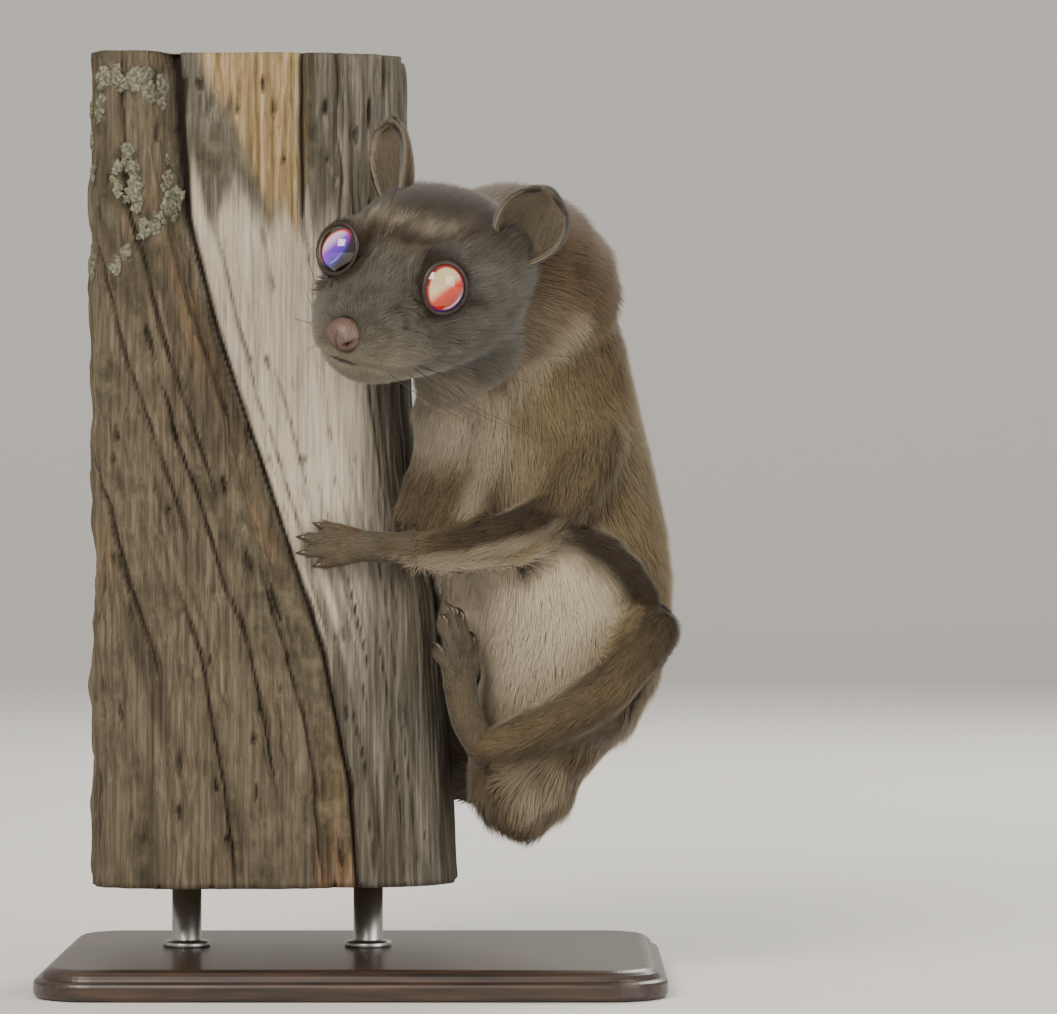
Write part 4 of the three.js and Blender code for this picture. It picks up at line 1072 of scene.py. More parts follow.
def coat(name, points, triangles, surface_out, surface_lie, surface_kinds, corner_uv, bare, slots):
    """Covers a surface with tufts by the kinds of coat on it, in pieces named for each kind."""
    wanted = surface_kinds @ np.array([COAT[kind]["density"] for kind in KINDS]) * (1 - bare)
    pick, shares = scatter(points, triangles, wanted)
    roots = at_places(points, triangles, pick, shares)
    out = unit(at_places(surface_out, triangles, pick, shares))
    flow = at_places(surface_lie, triangles, pick, shares)
    root_kinds = at_places(surface_kinds, triangles, pick, shares)
    uv = (corner_uv[pick] * shares[..., None]).sum(1)
    column = {key: root_kinds @ np.array([COAT[kind][key] for kind in KINDS])
              for key in ("length", "width", "spread")}
    places = to_head(roots)
    on_face = root_kinds[:, 0]
    muzzle = (1 - rise(np.linalg.norm(places - MUZZLE_END, axis=1), 3, 19)) * on_face
    from_lips = np.abs(places[:, 2] - MOUTH["height"] - (places[:, 0] - MOUTH["front"]) * MOUTH["slope"])
    lips = (1 - rise(from_lips, 0.8, 3)) * rise(places[:, 0], 12, 15) * on_face
    lid_gaps = [from_lid(eye, places) for eye in EYES.values()]
    lids = np.max([
        (1 - rise(past, 4, 32)) * (distance < EYE_RADIUS + 5) for distance, past in lid_gaps
    ], axis=0) * on_face
    behind = rise(-places[:, 0], -3, 10) * on_face
    at_ears = np.max([
        1 - rise(np.linalg.norm(places - np.add(base, (1, 0, 0)), axis=1), 5, 9)
        for base in EAR_ROOTS.values()
    ], axis=0)
    knee = 1 - rise(np.linalg.norm(roots - KNEE, axis=1), 5, 13)
    short = (1 - 0.6 * muzzle) * (1 + 0.3 * behind) * (1 + 0.25 * at_ears) * (1 - 0.5 * knee)
    short *= (1 - 0.62 * lids) * (1 - 0.5 * lips)
    turn = 0.22 * drift(roots, (6, 6, 6), 31) + 0.12 * drift(roots, (2, 2, 2), 32)
    turn = turn + column["spread"] * chance.standard_normal(len(roots))
    side = np.cross(out, flow)
    flow = square_to(flow * np.cos(turn)[:, None] + side * np.sin(turn)[:, None], out)
    length = column["length"] * short * (0.75 + 0.4 * chance.random(len(roots)))
    width = column["width"] * (0.75 + 0.5 * chance.random(len(roots))) * (0.65 + 0.35 * short)
    lift = root_kinds @ np.array([COAT_DEPTH[kind] for kind in KINDS])
    lift = lift * (1 - 0.6 * muzzle) * (1 - 0.7 * lids) * (1 + 0.6 * behind + 0.9 * at_ears)
    lift = lift * (1 - 0.6 * knee)
    lift = np.maximum(lift, 0.2) * (0.7 + 0.45 * chance.random(len(roots)))
    cell = np.floor(roots / LOCK)
    middle = (cell + 0.5 + 0.35 * np.stack([lattice(cell, 40 + k) for k in range(3)], -1)) * LOCK
    pull = middle - roots
    marks = markings(roots, out, root_kinds)
    smooth = 1 - 0.65 * marks["pale"] * root_kinds[:, KINDS.index("trunk")]
    pull = pull - (pull * out).sum(-1, keepdims=True) * out
    pull *= (0.28 * smooth * np.minimum(length / 6, 1))[:, None]
    uneven = 0.2 * chance.standard_normal(len(roots)) + 0.1 * lattice(cell, 47)
    uneven = uneven + 0.25 * drift(roots, (8, 8, 8), 33)
    marks["chance"] = np.clip(0.5 + uneven * smooth, 0, 1)
    main = root_kinds.argmax(1)
    for number in np.unique(main):
        kind = KINDS[number]
        mine = np.flatnonzero(main == number)
        mine = mine[np.argsort(-roots[mine, 2], kind="stable")]
        pieces = math.ceil(len(mine) / (PIECE_TRIANGLES // TUFT_TRIANGLES))
        for part_number, group in enumerate(np.array_split(mine, pieces), 1):
            size = np.stack([length, width / 2, lift], -1)[group]
            piece = tufts(f"{name}_{kind}_{part_number}", roots[group] - out[group] * 0.2, out[group],
                          flow[group], size, uv[group], {k: v[group] for k, v in marks.items()},
                          bend=pull[group])
            dress(piece, slots[kind])


# The nose, the lids' edges and the ends of the limbs, where the paws begin, are bare.
nose_reach = np.linalg.norm((in_head - NOSE_AT) / NOSE_CLEAR, axis=1)
limb_end = np.min([np.linalg.norm(hide - place, axis=1) for place in WRISTS], axis=0)
bare = np.max([
    1 - rise(nose_reach, 0.95, 1.1), 1 - rise(lid_past, 0, 4), 1 - rise(limb_end, 1, 2.8),
], axis=0)
FUR_SLOTS = dict.fromkeys(KINDS, "fur_brown") | {"face": "fur_grey", "paw": "fur_dark"}
coat("coat", hide, hide_faces, hide_out, lie, kinds, hide_map, bare, FUR_SLOTS)

# Eyes
# Polished glass balls, dark at the rim, with painted eyeshine on each pupil: a disc that glows by
# emission though the eye is no lamp, standing in for a flashlight's reflection from a night animal's
# eye, with a painted reflection crescent at its edge. The near one is cream to coral, and the far one
# pink to violet. Each has a bare dark lid edge round it.
BALL_AROUND, BALL_ROWS = 144, 100
# The picture's right and up, in the head's frame
IMAGE_RIGHT, IMAGE_UP = np.array([-0.599, 0.799, 0.054]), np.array([-0.292, -0.281, 0.914])
# The painted eyeshine disc's way in the head, its half angles across and along, how far its long way
# leans to the right, its tones from top left to bottom right, and its fringe's tones
PAINTED_EYESHINE_DISCS = {
    "left": ((0.529, 0.833, 0.163), (36, 46), 0,
             ["#ffe2a8", "#f03c00", "#b00600"], ["#b80e00", "#3c0c70"]),
    "right": ((0.905, 0.055, 0.422), (23, 40), 40,
              ["#ffd4ee", "#9038e0", "#2404b4"], ["#e02a08", "#180890"]),
}
LID_STEPS, LID_AROUND = 96, 10
lid_skin, tree = material("bare lid skin")
# Thin moist skin, nearly black, with a faint pebble.
place = add(tree, "TexCoord")
pebble = noise(tree, place, 3500.0, 2.0)
skin_bump = relief(tree, pebble, 0.3, 0.0001)
shade = tone_run(tree, pebble, [(0.35, "#1a120e"), (0.7, "#3a2a22")])
finish(tree, {
    "Base Color": shade, "Roughness": 0.42, "Normal": skin_bump,
})
for name, (way, halves, lean, eyeshine_tones, rim) in PAINTED_EYESHINE_DISCS.items():
    eye = EYES[name]
    points, faces = ball(np.array(eye["at"]), EYE_RADIUS, BALL_AROUND, BALL_ROWS)
    way = unit(np.array(way))
    long_way = math.sin(math.radians(lean)) * IMAGE_RIGHT + math.cos(math.radians(lean)) * IMAGE_UP
    long_way = unit(long_way - (long_way @ way) * way)
    wide_way = np.cross(long_way, way)
    ray = unit(points - eye["at"])
    away = np.degrees(np.arccos(np.clip(ray @ way, -1, 1)))
    turn = np.arctan2(ray @ long_way, ray @ wide_way)
    off = away * np.hypot(np.cos(turn) / halves[0], np.sin(turn) / halves[1])
    down = (ray - way) @ (0.62 * IMAGE_RIGHT - 0.78 * IMAGE_UP)
    # A pale crescent on the disc's lower right edge: a painted reflection.
    crescent = np.exp(-(((off - 0.88) / 0.06) ** 2)) * rise(down, 0.3, 0.5)
    glass, tree = material(f"polished glass eye, {name}")
    # The painted eyeshine disc shades from its upper left to its lower right, inside a thin coloured
    # fringe of painted glow, and glows by emission; a pale crescent on its lower right edge is a painted
    # reflection.
    off_disc = kept_number(tree, "off")
    lower = kept_number(tree, "down")
    painted_reflection_share = kept_number(tree, "crescent")
    painted_glow = tone_run(tree, lower, [(0.36, eyeshine_tones[0]), (0.52, eyeshine_tones[1]), (0.8, eyeshine_tones[2])])
    glow_and_painted_reflection = laid_over(tree, painted_reflection_share, painted_glow, colour("#fff4ea"))
    painted_glow_fringe = tone_run(tree, lower, [(0.35, rim[0]), (0.75, rim[1])])
    in_disc = add(tree, "MapRange", {"interpolation_type": "SMOOTHSTEP"},
                  {"Value": off_disc, "From Min": 0.93, "From Max": 1.04, "To Min": 1.0, "To Max": 0.0})
    in_fringe = add(tree, "MapRange", {"interpolation_type": "SMOOTHSTEP"},
                    {"Value": off_disc, "From Min": 1.02, "From Max": 1.24, "To Min": 1.0, "To Max": 0.0})
    rimmed = laid_over(tree, in_fringe, colour("#0a0504"), painted_glow_fringe)
    painted_eyeshine = laid_over(tree, in_disc, rimmed, glow_and_painted_reflection)
    finish(tree, {
        "Base Color": colour("#120906"), "Roughness": 0.08, "Coat Weight": 1.0, "Coat Roughness": 0.03,
        "Emission Color": painted_eyeshine, "Emission Strength": 0.95,
    })
    globe = mesh_object(f"eye_{name}_glass", from_head(points), faces, glass)
    mark(globe, "off", off)
    mark(globe, "down", np.clip(0.5 + 0.72 * down, 0, 1))
    mark(globe, "crescent", crescent)
    dress(globe, "eye", f"eye_{name}")
    look, nose_way, top_way = lid_axes(eye)
    turn = np.linspace(0, 2 * np.pi, LID_STEPS, endpoint=False)
    past = lid_opening(eye, turn)[:, None]
    ray = look * np.cos(past) + np.sin(past) * (
        nose_way * np.cos(turn)[:, None] + top_way * np.sin(turn)[:, None])
    edge_at = eye["at"] + ray * (EYE_RADIUS + 0.12)
    ahead = unit(np.roll(edge_at, -1, 0) - np.roll(edge_at, 1, 0))
    across = np.cross(ahead, ray)
    bead = np.radians(np.arange(0, 360, 360 / LID_AROUND))
    tube = edge_at[:, None] + 0.42 * (
        across[:, None] * np.cos(bead)[None, :, None] * 1.25 + ray[:, None] * np.sin(bead)[None, :, None])
    lid_faces = ring_faces(LID_STEPS + 1, LID_AROUND) % (LID_STEPS * LID_AROUND)
    lid = mesh_object(f"lid_{name}", from_head(tube.reshape(-1, 3)), lid_faces, lid_skin)
    dress(lid, "nose_skin")

# Nose
# A bare brownish pink pad of moist skin, with a comma-shaped nostril on each side and a groove down
# its middle. It is one flattened ball, pushed in and out by these forms.
turn = np.linspace(0, 2 * np.pi, 80, endpoint=False)
rings = np.array([
    np.stack([np.full(80, -np.cos(tilt)), np.sin(tilt) * np.cos(turn), np.sin(tilt) * np.sin(turn)], -1)
    for tilt in np.linspace(0, np.pi, 61)[1:-1]
])
nx, ny, nz = rings[..., 0], rings[..., 1], rings[..., 2]
groove = np.exp(-((ny / 0.08) ** 2)) * rise(nx, 0.1, 0.7) * (1 - rise(nz, 0.2, 0.6))
comma_at = np.abs(ny) - 0.5 - 0.35 * rise(nz, -0.45, 0.1)
nostril = np.exp(-((comma_at / 0.13) ** 2 + ((nz + 0.24) / 0.24) ** 2)) * (nx > 0)
wing = np.exp(-(((np.abs(ny) - 0.6) / 0.26) ** 2 + ((nz - 0.12) / 0.22) ** 2)) * (nx > 0)
dome = np.exp(-((ny / 0.5) ** 2 + ((nz - 0.5) / 0.4) ** 2)) * (nx > 0)
reach = 1 - 0.1 * groove - 0.34 * nostril + 0.1 * wing + 0.04 * dome - 0.12 * rise(-nz, 0.45, 1)
pad = rings * reach[..., None] * NOSE_HALF
points, faces = shell(from_head(pad + NOSE_AT), from_head(np.add(NOSE_AT, (-3.0, 0, 0))),
                      from_head(np.add(NOSE_AT, (2.85, 0, 0))))
nose_skin, tree = material("bare nose skin")
# Moist skin in fine pebbles a fifth of a millimetre wide, drawn a little coarser so that they show.
place = add(tree, "TexCoord")
pebbles = add(tree, "TexVoronoi", {}, {"Vector": place, "Scale": 2600.0})
skin_bump = add(tree, "Bump", {"invert": True},
                {"Strength": 0.35, "Distance": 0.00015, "Height": pebbles})
pink = tone_run(tree, pebbles, [(0.1, "#725a50"), (0.6, "#5b463d")])
# The nostrils and the groove are darkened by painted shade in their hollows.
inside = kept_number(tree, "hollow")
nose_tone = laid_over(tree, inside, pink, colour("#24140f"))
finish(tree, {
    "Base Color": nose_tone, "Roughness": 0.42, "Subsurface Weight": 0.15,
    "Subsurface Radius": (0.001, 0.0004, 0.0003), "Normal": skin_bump,
})
nose = mesh_object("nose_pad", points, faces, nose_skin)
mark(nose, "hollow", np.concatenate([np.clip(1.3 * nostril + 0.5 * groove, 0, 1).ravel(), [0, 0]]))
dress(nose, "nose_skin", "nose")

# Mouth
# The closed lips meet in a dark, moist line under the nose. It is a slim bead of bare skin laid in
# the hide's crease.
lip_y = np.linspace(-1, 1, 61)
lip_x = 21.0 - 1.4 * np.abs(lip_y) ** 1.7
lip_line = np.stack([lip_x, 2.9 * lip_y, MOUTH["height"] + (lip_x - MOUTH["front"]) * MOUTH["slope"]], -1)
hide_tree = BVHTree.FromPolygons(hide.tolist(), hide_faces.tolist())
lip_skin, tree = material("bare lip skin")
# Dark wet skin in the parting of the lips.
place = add(tree, "TexCoord")
wet = noise(tree, place, 3000.0, 2.0)
tone = tone_run(tree, wet, [(0.35, "#17100d"), (0.7, "#2c1e19")])
finish(tree, {"Base Color": tone, "Roughness": 0.4})
lip_at = np.array([to_head(hide_tree.find_nearest(p)[0]) for p in from_head(lip_line).tolist()])
lip_half = 0.22 * np.maximum(1 - np.abs(lip_y) ** 3, 0.15)
bead = np.radians(np.arange(0, 360, 45))
lip_ring = np.stack([
    lip_at + np.array([0.45, 0, 0]) + lip_half[:, None] * (
        math.cos(b) * np.array([1.0, 0, 0]) + math.sin(b) * np.array([0, 0, 1.0]))
    for b in bead
], 1)
points, faces = shell(from_head(lip_ring), from_head(lip_at[0]), from_head(lip_at[-1]))
lips = mesh_object("lip_line", points, faces, lip_skin)
dress(lips, "nose_skin")


def spline(stations, t):
    """Places on the smooth curve through stations, for t from 0 to 1."""
    stations = np.asarray(stations, float)
    ends = np.concatenate([[2 * stations[0] - stations[1]], stations, [2 * stations[-1] - stations[-2]]])
    at = np.clip(np.asarray(t, float), 0, 1) * (len(stations) - 1)
    first = np.minimum(at.astype(int), len(stations) - 2)
    s = (at - first)[..., None]
    a, b, c, d = (ends[first + k] for k in range(4))
    return 0.5 * (2 * b + (c - a) * s + (2 * a - 5 * b + 4 * c - d) * s ** 2
                  + (3 * b - 3 * c + d - a) * s ** 3)


def strand(stations, radii, around, steps):
    """Points and triangles of a tapered round strand through stations."""
    t = np.linspace(0, 1, steps)
    centre = spline(stations, t)
    ahead = unit(np.gradient(centre, axis=0))
    first = unit(np.cross(ahead, [0.31, 0.22, 0.92]))
    second = np.cross(ahead, first)
    radius = np.interp(t, np.linspace(0, 1, len(radii)), radii)[:, None, None]
    turn = np.linspace(0, 2 * np.pi, around, endpoint=False)
    rings = centre[:, None] + radius * (
        first[:, None] * np.cos(turn)[None, :, None] + second[:, None] * np.sin(turn)[None, :, None])
    return shell(rings, centre[0], centre[-1])


def joined(parts):
    """Several meshes' points and triangles put together."""
    starts = np.cumsum([0] + [len(points) for points, _ in parts[:-1]])
    return (np.concatenate([points for points, _ in parts]),
            np.concatenate([faces + start for (_, faces), start in zip(parts, starts)]))


# Whiskers
# Stiff dark bristles in rows on the pads beside the nose, swept back along the cheeks and thinning
# to nothing at the tips.
whisker_hair, tree = material("dark whisker hair")
# Smooth glossy horn, nearly black with browner stretches.
place = add(tree, "TexCoord")
run = noise(tree, place, 120.0, 1.0)
tone = tone_run(tree, run, [(0.3, "#120d0a"), (0.7, "#4b3b2f")])
finish(tree, {"Base Color": tone, "Roughness": 0.35})
whisker_parts = []
whisker_dice = np.random.default_rng(8)
WHISKER_ROWS, WHISKERS_A_ROW = 4, 3
for side, row, column in itertools.product((1, -1), range(WHISKER_ROWS), range(WHISKERS_A_ROW)):
    root = np.array([19 - 1.7 * column, side * (5.0 + 1.5 * column), -6.8 - 1.5 * row + 0.4 * column])
    reach = 20 + 5.5 * column + 4 * whisker_dice.random() - 1.2 * abs(row - 1)
    rise_by = 0.3 - 0.24 * row + 0.08 * whisker_dice.standard_normal()
    way = unit(np.array([-0.42 + 0.12 * whisker_dice.standard_normal(), side * 0.8, rise_by]))
    back = np.array([-0.55, side * 0.05, -0.14])
    stations = [root + way * reach * t + back * reach * t * t * 0.75 for t in (-0.02, 0.3, 0.65, 1)]
    whisker_parts.append(strand(stations, [0.1, 0.085, 0.055, 0.015], 5, 16))
points, faces = joined(whisker_parts)
whiskers = mesh_object("whiskers", from_head(points), faces, whisker_hair)
dress(whiskers, "fur_dark")

# Ears
# Thin cups of skin, rolled in at the root, with faint ribs. Fine down covers the back, fringes the
# edge and lies thinly inside.
EAR_WIDTH, EAR_THICK = 16, 0.55
ACROSS, UP = 40, 36
# Each ear's tip and the way it opens, in the head's frame
EARS = {
    "ear_left": ((-13.5, 20.5, 18.5), (0.8, 0.6, 0.1)),
    "ear_right": ((-13, -17, 23.5), (0.85, -0.4, 0.1)),
}
# Shares of an ear's width and height from root to tip
EAR_OUTLINE = [(0.55, 0), (0.85, 0.2), (1, 0.42), (0.92, 0.66), (0.62, 0.88), (0.2, 1)]
ear_skin, tree = material("thin ear skin")
# Light comes through the thin grey-brown skin, and small veins darken it.
place = add(tree, "TexCoord")
veins = noise(tree, place, 420.0, 5.0)
down_hair = noise(tree, place, 2600.0, 2.0)
ear_tone = tone_run(tree, veins, [(0.3, "#463c33"), (0.5, "#57493e"), (0.7, "#66564a")])
rim_share = kept_number(tree, "rim")
# Inside the cup the skin darkens towards the root: painted shade.
root_shade_share = kept_number(tree, "deep")
ear_with_root_shade = laid_over(tree, root_shade_share, ear_tone, colour("#1f1712"))
ear_rim = laid_over(tree, rim_share, ear_with_root_shade, colour("#8a7d69"))
ear_bump = relief(tree, down_hair, 0.4, 0.00015)
finish(tree, {
    "Base Color": ear_rim, "Roughness": 0.65, "Subsurface Weight": 0.3,
    "Subsurface Radius": (0.0012, 0.0006, 0.0004), "Normal": ear_bump,
})
for name, (tip, way) in EARS.items():
    root, tip, way = (np.array(v, float) for v in (EAR_ROOTS[name], tip, way))
    height = np.linalg.norm(tip - root)
    up = unit(tip - root)
    open_way = unit(way - (way @ up) * up)
    beside = np.cross(up, open_way)
    u, v = np.meshgrid(np.linspace(0, 1, ACROSS + 1), np.linspace(0, 1, UP + 1))
    outline = spline(EAR_OUTLINE, v)
    share_wide, share_up = outline[..., 0], outline[..., 1]
    roll = np.radians(215 + (70 - 215) * np.clip(share_up, 0, 1) ** 0.7)
    angle = (u - 0.5) * roll
    radius = EAR_WIDTH * share_wide / roll
    ribs = 0.14 * np.sin(u * 34) * (1 - share_up) * np.sin(np.pi * u)
    curl = 0.35 * np.maximum(np.abs(u - 0.5) * 2 - 0.8, 0) / 0.2 * rise(share_up, 0.1, 0.5)
    face = (root + up * (height * share_up)[..., None] + beside * (radius * np.sin(angle))[..., None]
            + open_way * (radius * (1 - np.cos(angle)) - 2.2 * share_wide + ribs + curl)[..., None])
    du, dv = np.gradient(face, axis=1), np.gradient(face, axis=0)
    way_out = unit(np.cross(du, dv))
    thick = EAR_THICK * (1 - 0.35 * share_up)[..., None] / 2
    layers = np.stack([face + way_out * thick, face - way_out * thick]).reshape(-1, 3)
    row, step = np.meshgrid(np.arange(UP), np.arange(ACROSS), indexing="ij")
    a = (row * (ACROSS + 1) + step).ravel()
    b, c, d = a + 1, a + ACROSS + 2, a + ACROSS + 1
    lower = (ACROSS + 1) * (UP + 1)
    sheet_faces = [np.stack(t, -1) for t in (
        (a, b, c), (a, c, d), (a + lower, c + lower, b + lower), (a + lower, d + lower, c + lower))]
    edge = np.concatenate([
        np.arange(ACROSS), np.arange(UP) * (ACROSS + 1) + ACROSS,
        UP * (ACROSS + 1) + np.arange(ACROSS, 0, -1), np.arange(UP, 0, -1) * (ACROSS + 1),
    ])
    after = np.roll(edge, -1)
    sheet_faces += [np.stack([edge, edge + lower, after + lower], -1),
                    np.stack([edge, after + lower, after], -1)]
    ear = mesh_object(name + "_cup", from_head(layers), np.concatenate(sheet_faces), ear_skin)
    rim_value = np.maximum(rise(np.abs(u - 0.5) * 2, 0.9, 1), rise(v, 0.93, 1)).ravel()
    inner = way_out * np.sign((way_out * open_way).sum(-1, keepdims=True))
    # Painted shade on the inside of the cup, deepest at the root.
    deep = (1 - rise(share_up, 0.02, 0.4)).ravel()
    facing = ((way_out * open_way).sum(-1) > 0).ravel()
    mark(ear, "rim", np.tile(rim_value, 2))
    mark(ear, "deep", np.concatenate([deep * facing, deep * ~facing]))
    dress(ear, "ear_skin", name)
    # Down on the back and inside, and paler down along the edge: whether on the back, how many
    # tufts, how long and how pale
    downs = []
    for on_back, count, long, tone in (
            (1, 5200, 2.0, 0.1), (0, 5200, 2.6, 0.12), (1, 2200, 2.2, 0.3), (0, 2200, 1.8, 0.3)):
        iu = chance.random(count) * ACROSS
        iv = chance.random(count) ** (1.0 if on_back else 0.8) * UP
        on_edge = tone == 0.3
        if on_edge:
            edge_spot = chance.random(count)
            in_by = 0.05 + 1.6 * chance.random(count) ** 2
            iu = np.where(edge_spot < 0.4, in_by, np.where(edge_spot < 0.8, ACROSS - in_by, iu))
            iv = np.where(edge_spot < 0.8, iv, UP - in_by)
        fu, fv = np.floor(iu).astype(int).clip(0, ACROSS - 1), np.floor(iv).astype(int).clip(0, UP - 1)
        su, sv = (iu - fu)[:, None], (iv - fv)[:, None]

        def grid(values):
            """The sheet's values at the down's roots."""
            return ((values[fv, fu] * (1 - su) + values[fv, fu + 1] * su) * (1 - sv)
                    + (values[fv + 1, fu] * (1 - su) + values[fv + 1, fu + 1] * su) * sv)

        at = grid(face)
        out = unit(grid(inner)) * (-1 if on_back else 1)
        rim_at = np.maximum(np.abs(iu / ACROSS - 0.5) * 2, iv / UP)[:, None]
        fan = (iu / ACROSS - 0.5) * (3.2 if on_edge else 1.4)
        sweep = up + beside * fan[:, None] * rise(rim_at, 0.5, 1)
        flow = square_to(sweep + 0.12 * chance.standard_normal((count, 3)), out)
        size = np.stack([long * (0.6 + 0.5 * chance.random(count)) * (1 - 0.3 * rise(rim_at[:, 0], 0.8, 1)),
                         np.full(count, 0.085), 0.3 + 0.25 * chance.random(count)], -1)
        # The down inside the cup darkens towards the root as painted shade.
        root_shade_in = (1 - on_back) * (1 - rise(iv / UP, 0.3, 0.75))
        marks = {
            "pale": np.full(count, tone), "grey": np.full(count, 0.5),
            "rufous": np.full(count, 0.15 * on_back),
            "dark": 0.15 * on_edge + (1 - on_edge) * (0.4 + 0.35 * root_shade_in),
            "chance": np.clip(0.5 + 0.25 * chance.standard_normal(count), 0, 1),
        }
        ear_map = np.stack([0.03 + 0.45 * iu / ACROSS + 0.5 * (1 - on_back), 0.03 + 0.94 * iv / UP], -1)
        downs.append((at + out * (EAR_THICK * 0.3), out, flow, size, ear_map, marks))
    stacked = [np.concatenate([row[k] for row in downs]) for k in range(5)]
    marks = {key: np.concatenate([row[5][key] for row in downs]) for key in downs[0][5]}
    down_piece = tufts(name + "_down", from_head(stacked[0]), stacked[1] @ HEAD_WAY.T,
                       stacked[2] @ HEAD_WAY.T, stacked[3], stacked[4], marks)
    dress(down_piece, "fur_grey")

# Paws
# Hands with four fingers and feet with five toes, each digit arched over a soft pad and ending in a
# curved claw. Their skin is fused from palm and digits, and carries short thin fur.
FINGER_HALF, TOE_HALF, PAW_VOXEL = 1.3, 1.4, 0.34
# Each digit's place across the paw, its splay in degrees, its length and how far back it starts
FINGERS = [(-2.3, -13, 6, 1.5), (-0.85, -4, 7.4, 0), (0.85, 5, 7.4, 0), (2.3, 15, 6, 1.5)]
TOES = [(-2.9, -15, 6.5, 4), (-1.5, -6, 8.6, 0.8), (0, 0, 9.2, 0), (1.5, 6, 8.8, 0.8), (2.9, 16, 7, 4)]
# A digit's arch: shares of its length, how far it stands off the wood and shares of its thickness
DIGIT = [(-0.25, -0.2, 1.1), (0.2, 0.55, 0.98), (0.42, 0.75, 1.04), (0.6, 0.5, 0.92), (0.8, 0.05, 0.95),
         (1.0, -0.5, 0.9)]
# A claw's curve past the digit's end, and how far it stands off the wood
CLAW = [(-0.6, 0.15), (0.9, 0.45), (1.9, -0.15), (2.6, -1.5)]
# Each paw's stations as place, half width and half thickness, the way its digits point, the way out
# of the wood, its digits, and their half width
PAWS = {
    "hand_left": ([(13, -24.8, 87.8, 3.3, 3.1), (9, -24, 87.6, 3, 2.7), (3, -22.8, 87.8, 3.1, 2.3),
                   (-1.5, -22.2, 88, 3.2, 1.9)], (-1, 0, 0), (0, -1, 0), FINGERS, FINGER_HALF),
    "hand_right": ([(16.2, 16.6, 116, 2.8, 2.6), (15.6, 17, 119, 2.8, 2.5), (14.6, 17.2, 123, 3.2, 2.3),
                    (13.8, 17.4, 127, 3.3, 1.9)], (0, 0.05, 1), (1, 0, 0), FINGERS, FINGER_HALF),
    "foot_left": ([(27, -17.2, 46.5, 3.2, 3.1), (25.4, -16.6, 48, 3.1, 3), (22.4, -17.2, 54, 3.5, 2.9),
                   (20.4, -18.2, 65, 3.9, 2.5)], (-0.12, -0.08, 1), (0.75, -0.66, 0), TOES, TOE_HALF),
    "foot_right": ([(24.2, 17, 49, 3.2, 3.1), (24, 17, 50, 3.1, 3), (22.6, 17, 56, 3.5, 2.9),
                    (20.6, 17, 67, 3.9, 2.5)], (-0.08, 0.03, 1), (1, 0, 0), TOES, TOE_HALF),
}
horn, tree = material("claw horn")
# Dark, glossy horn, finely flecked along its length.
place = add(tree, "TexCoord")
lines = noise(tree, place, 1500.0, 3.0)
tone = tone_run(tree, lines, [(0.35, "#2a2019"), (0.65, "#584536")])
finish(tree, {
    "Base Color": tone, "Roughness": 0.35, "Coat Weight": 0.3, "Coat Roughness": 0.2,
})


def lofted(stations, side, around=16, steps=14):
    """A closed round body through stations of place, half width and half thickness."""
    stations = np.array(stations, float)
    t = np.linspace(0, 1, steps)
    row = spline(stations, t)
    turn = np.linspace(0, 2 * np.pi, around, endpoint=False)
    ahead = unit(np.gradient(row[:, :3], axis=0))
    beside = unit(side - (ahead @ side)[:, None] * ahead)
    top = np.cross(beside, ahead)
    rings = row[:, None, :3] + (row[:, 3:4] * np.cos(turn))[..., None] * beside[:, None] + (
        row[:, 4:5] * np.sin(turn))[..., None] * top[:, None]
    return shell(rings, row[0, :3] - ahead[0] * row[0, 4] * 0.6, row[-1, :3] + ahead[-1] * row[-1, 4] * 0.7)


paw_points, paw_faces, paw_lie, claw_parts = [], [], [], []
for name, (stations, forward, away, digits, thick) in PAWS.items():
    forward, away = unit(np.array(forward, float)), unit(np.array(away, float))
    across = np.cross(forward, away)
    bodies = [lofted(stations, across)]
    knuckles = np.array(stations[-1][:3])
    for beside, splay, long, back in digits:
        root = knuckles - forward * back + away * 0.3 + across * beside
        splay = math.radians(splay)
        way = forward * math.cos(splay) + across * math.sin(splay)
        bones = [
            (*(root + way * long * along + away * out), wide * thick, wide * thick * 0.92)
            for along, out, wide in DIGIT
        ]
        bodies.append(lofted(bones, across, 14, 18))
        claw = [root + way * (long + along) + away * out for along, out in CLAW]
        claw_parts.append(strand(claw, [0.66, 0.58, 0.36, 0.06], 8, 10))
    flesh, flesh_faces, flesh_edges = fused(name + "_rough", bodies, PAW_VOXEL)
    flesh = relax(flesh, flesh_edges, 5, 0.6)
    way_in = [stations[0][:3], stations[1][:3], tuple(knuckles), tuple(knuckles + forward * 9)]
    flesh_out = normals_of(flesh, flesh_faces)
    flow = relax(square_to(along_path(flesh, way_in), flesh_out), flesh_edges, 3)
    paw_faces.append(flesh_faces + sum(len(points) for points in paw_points))
    paw_points.append(flesh)
    paw_lie.append(square_to(flow, flesh_out))
paw, paw_triangles = np.concatenate(paw_points), np.concatenate(paw_faces)
paw_out = normals_of(paw, paw_triangles)
paw_kinds = np.tile(np.eye(len(KINDS))[KINDS.index("paw")], (len(paw), 1))
paw_skin = furred("paw_skin", paw, paw_triangles, paw_out, paw_kinds, 0.4)
dress(paw_skin, "fur_dark", *PAWS)
paw_map = unwrapped(paw_skin)
coat("paw_coat", paw, paw_triangles, paw_out, np.concatenate(paw_lie), paw_kinds, paw_map,
     np.zeros(len(paw)), FUR_SLOTS)
points, faces = joined(claw_parts)
claws = mesh_object("claws", points, faces, horn)
dress(claws, "nose_skin")

# Tail
# A flat plume, like a feather: a slim core with long hair combed out to both sides. It leaves the
# rump, turns behind the log and climbs its back.
TAIL_TUFTS = 15000
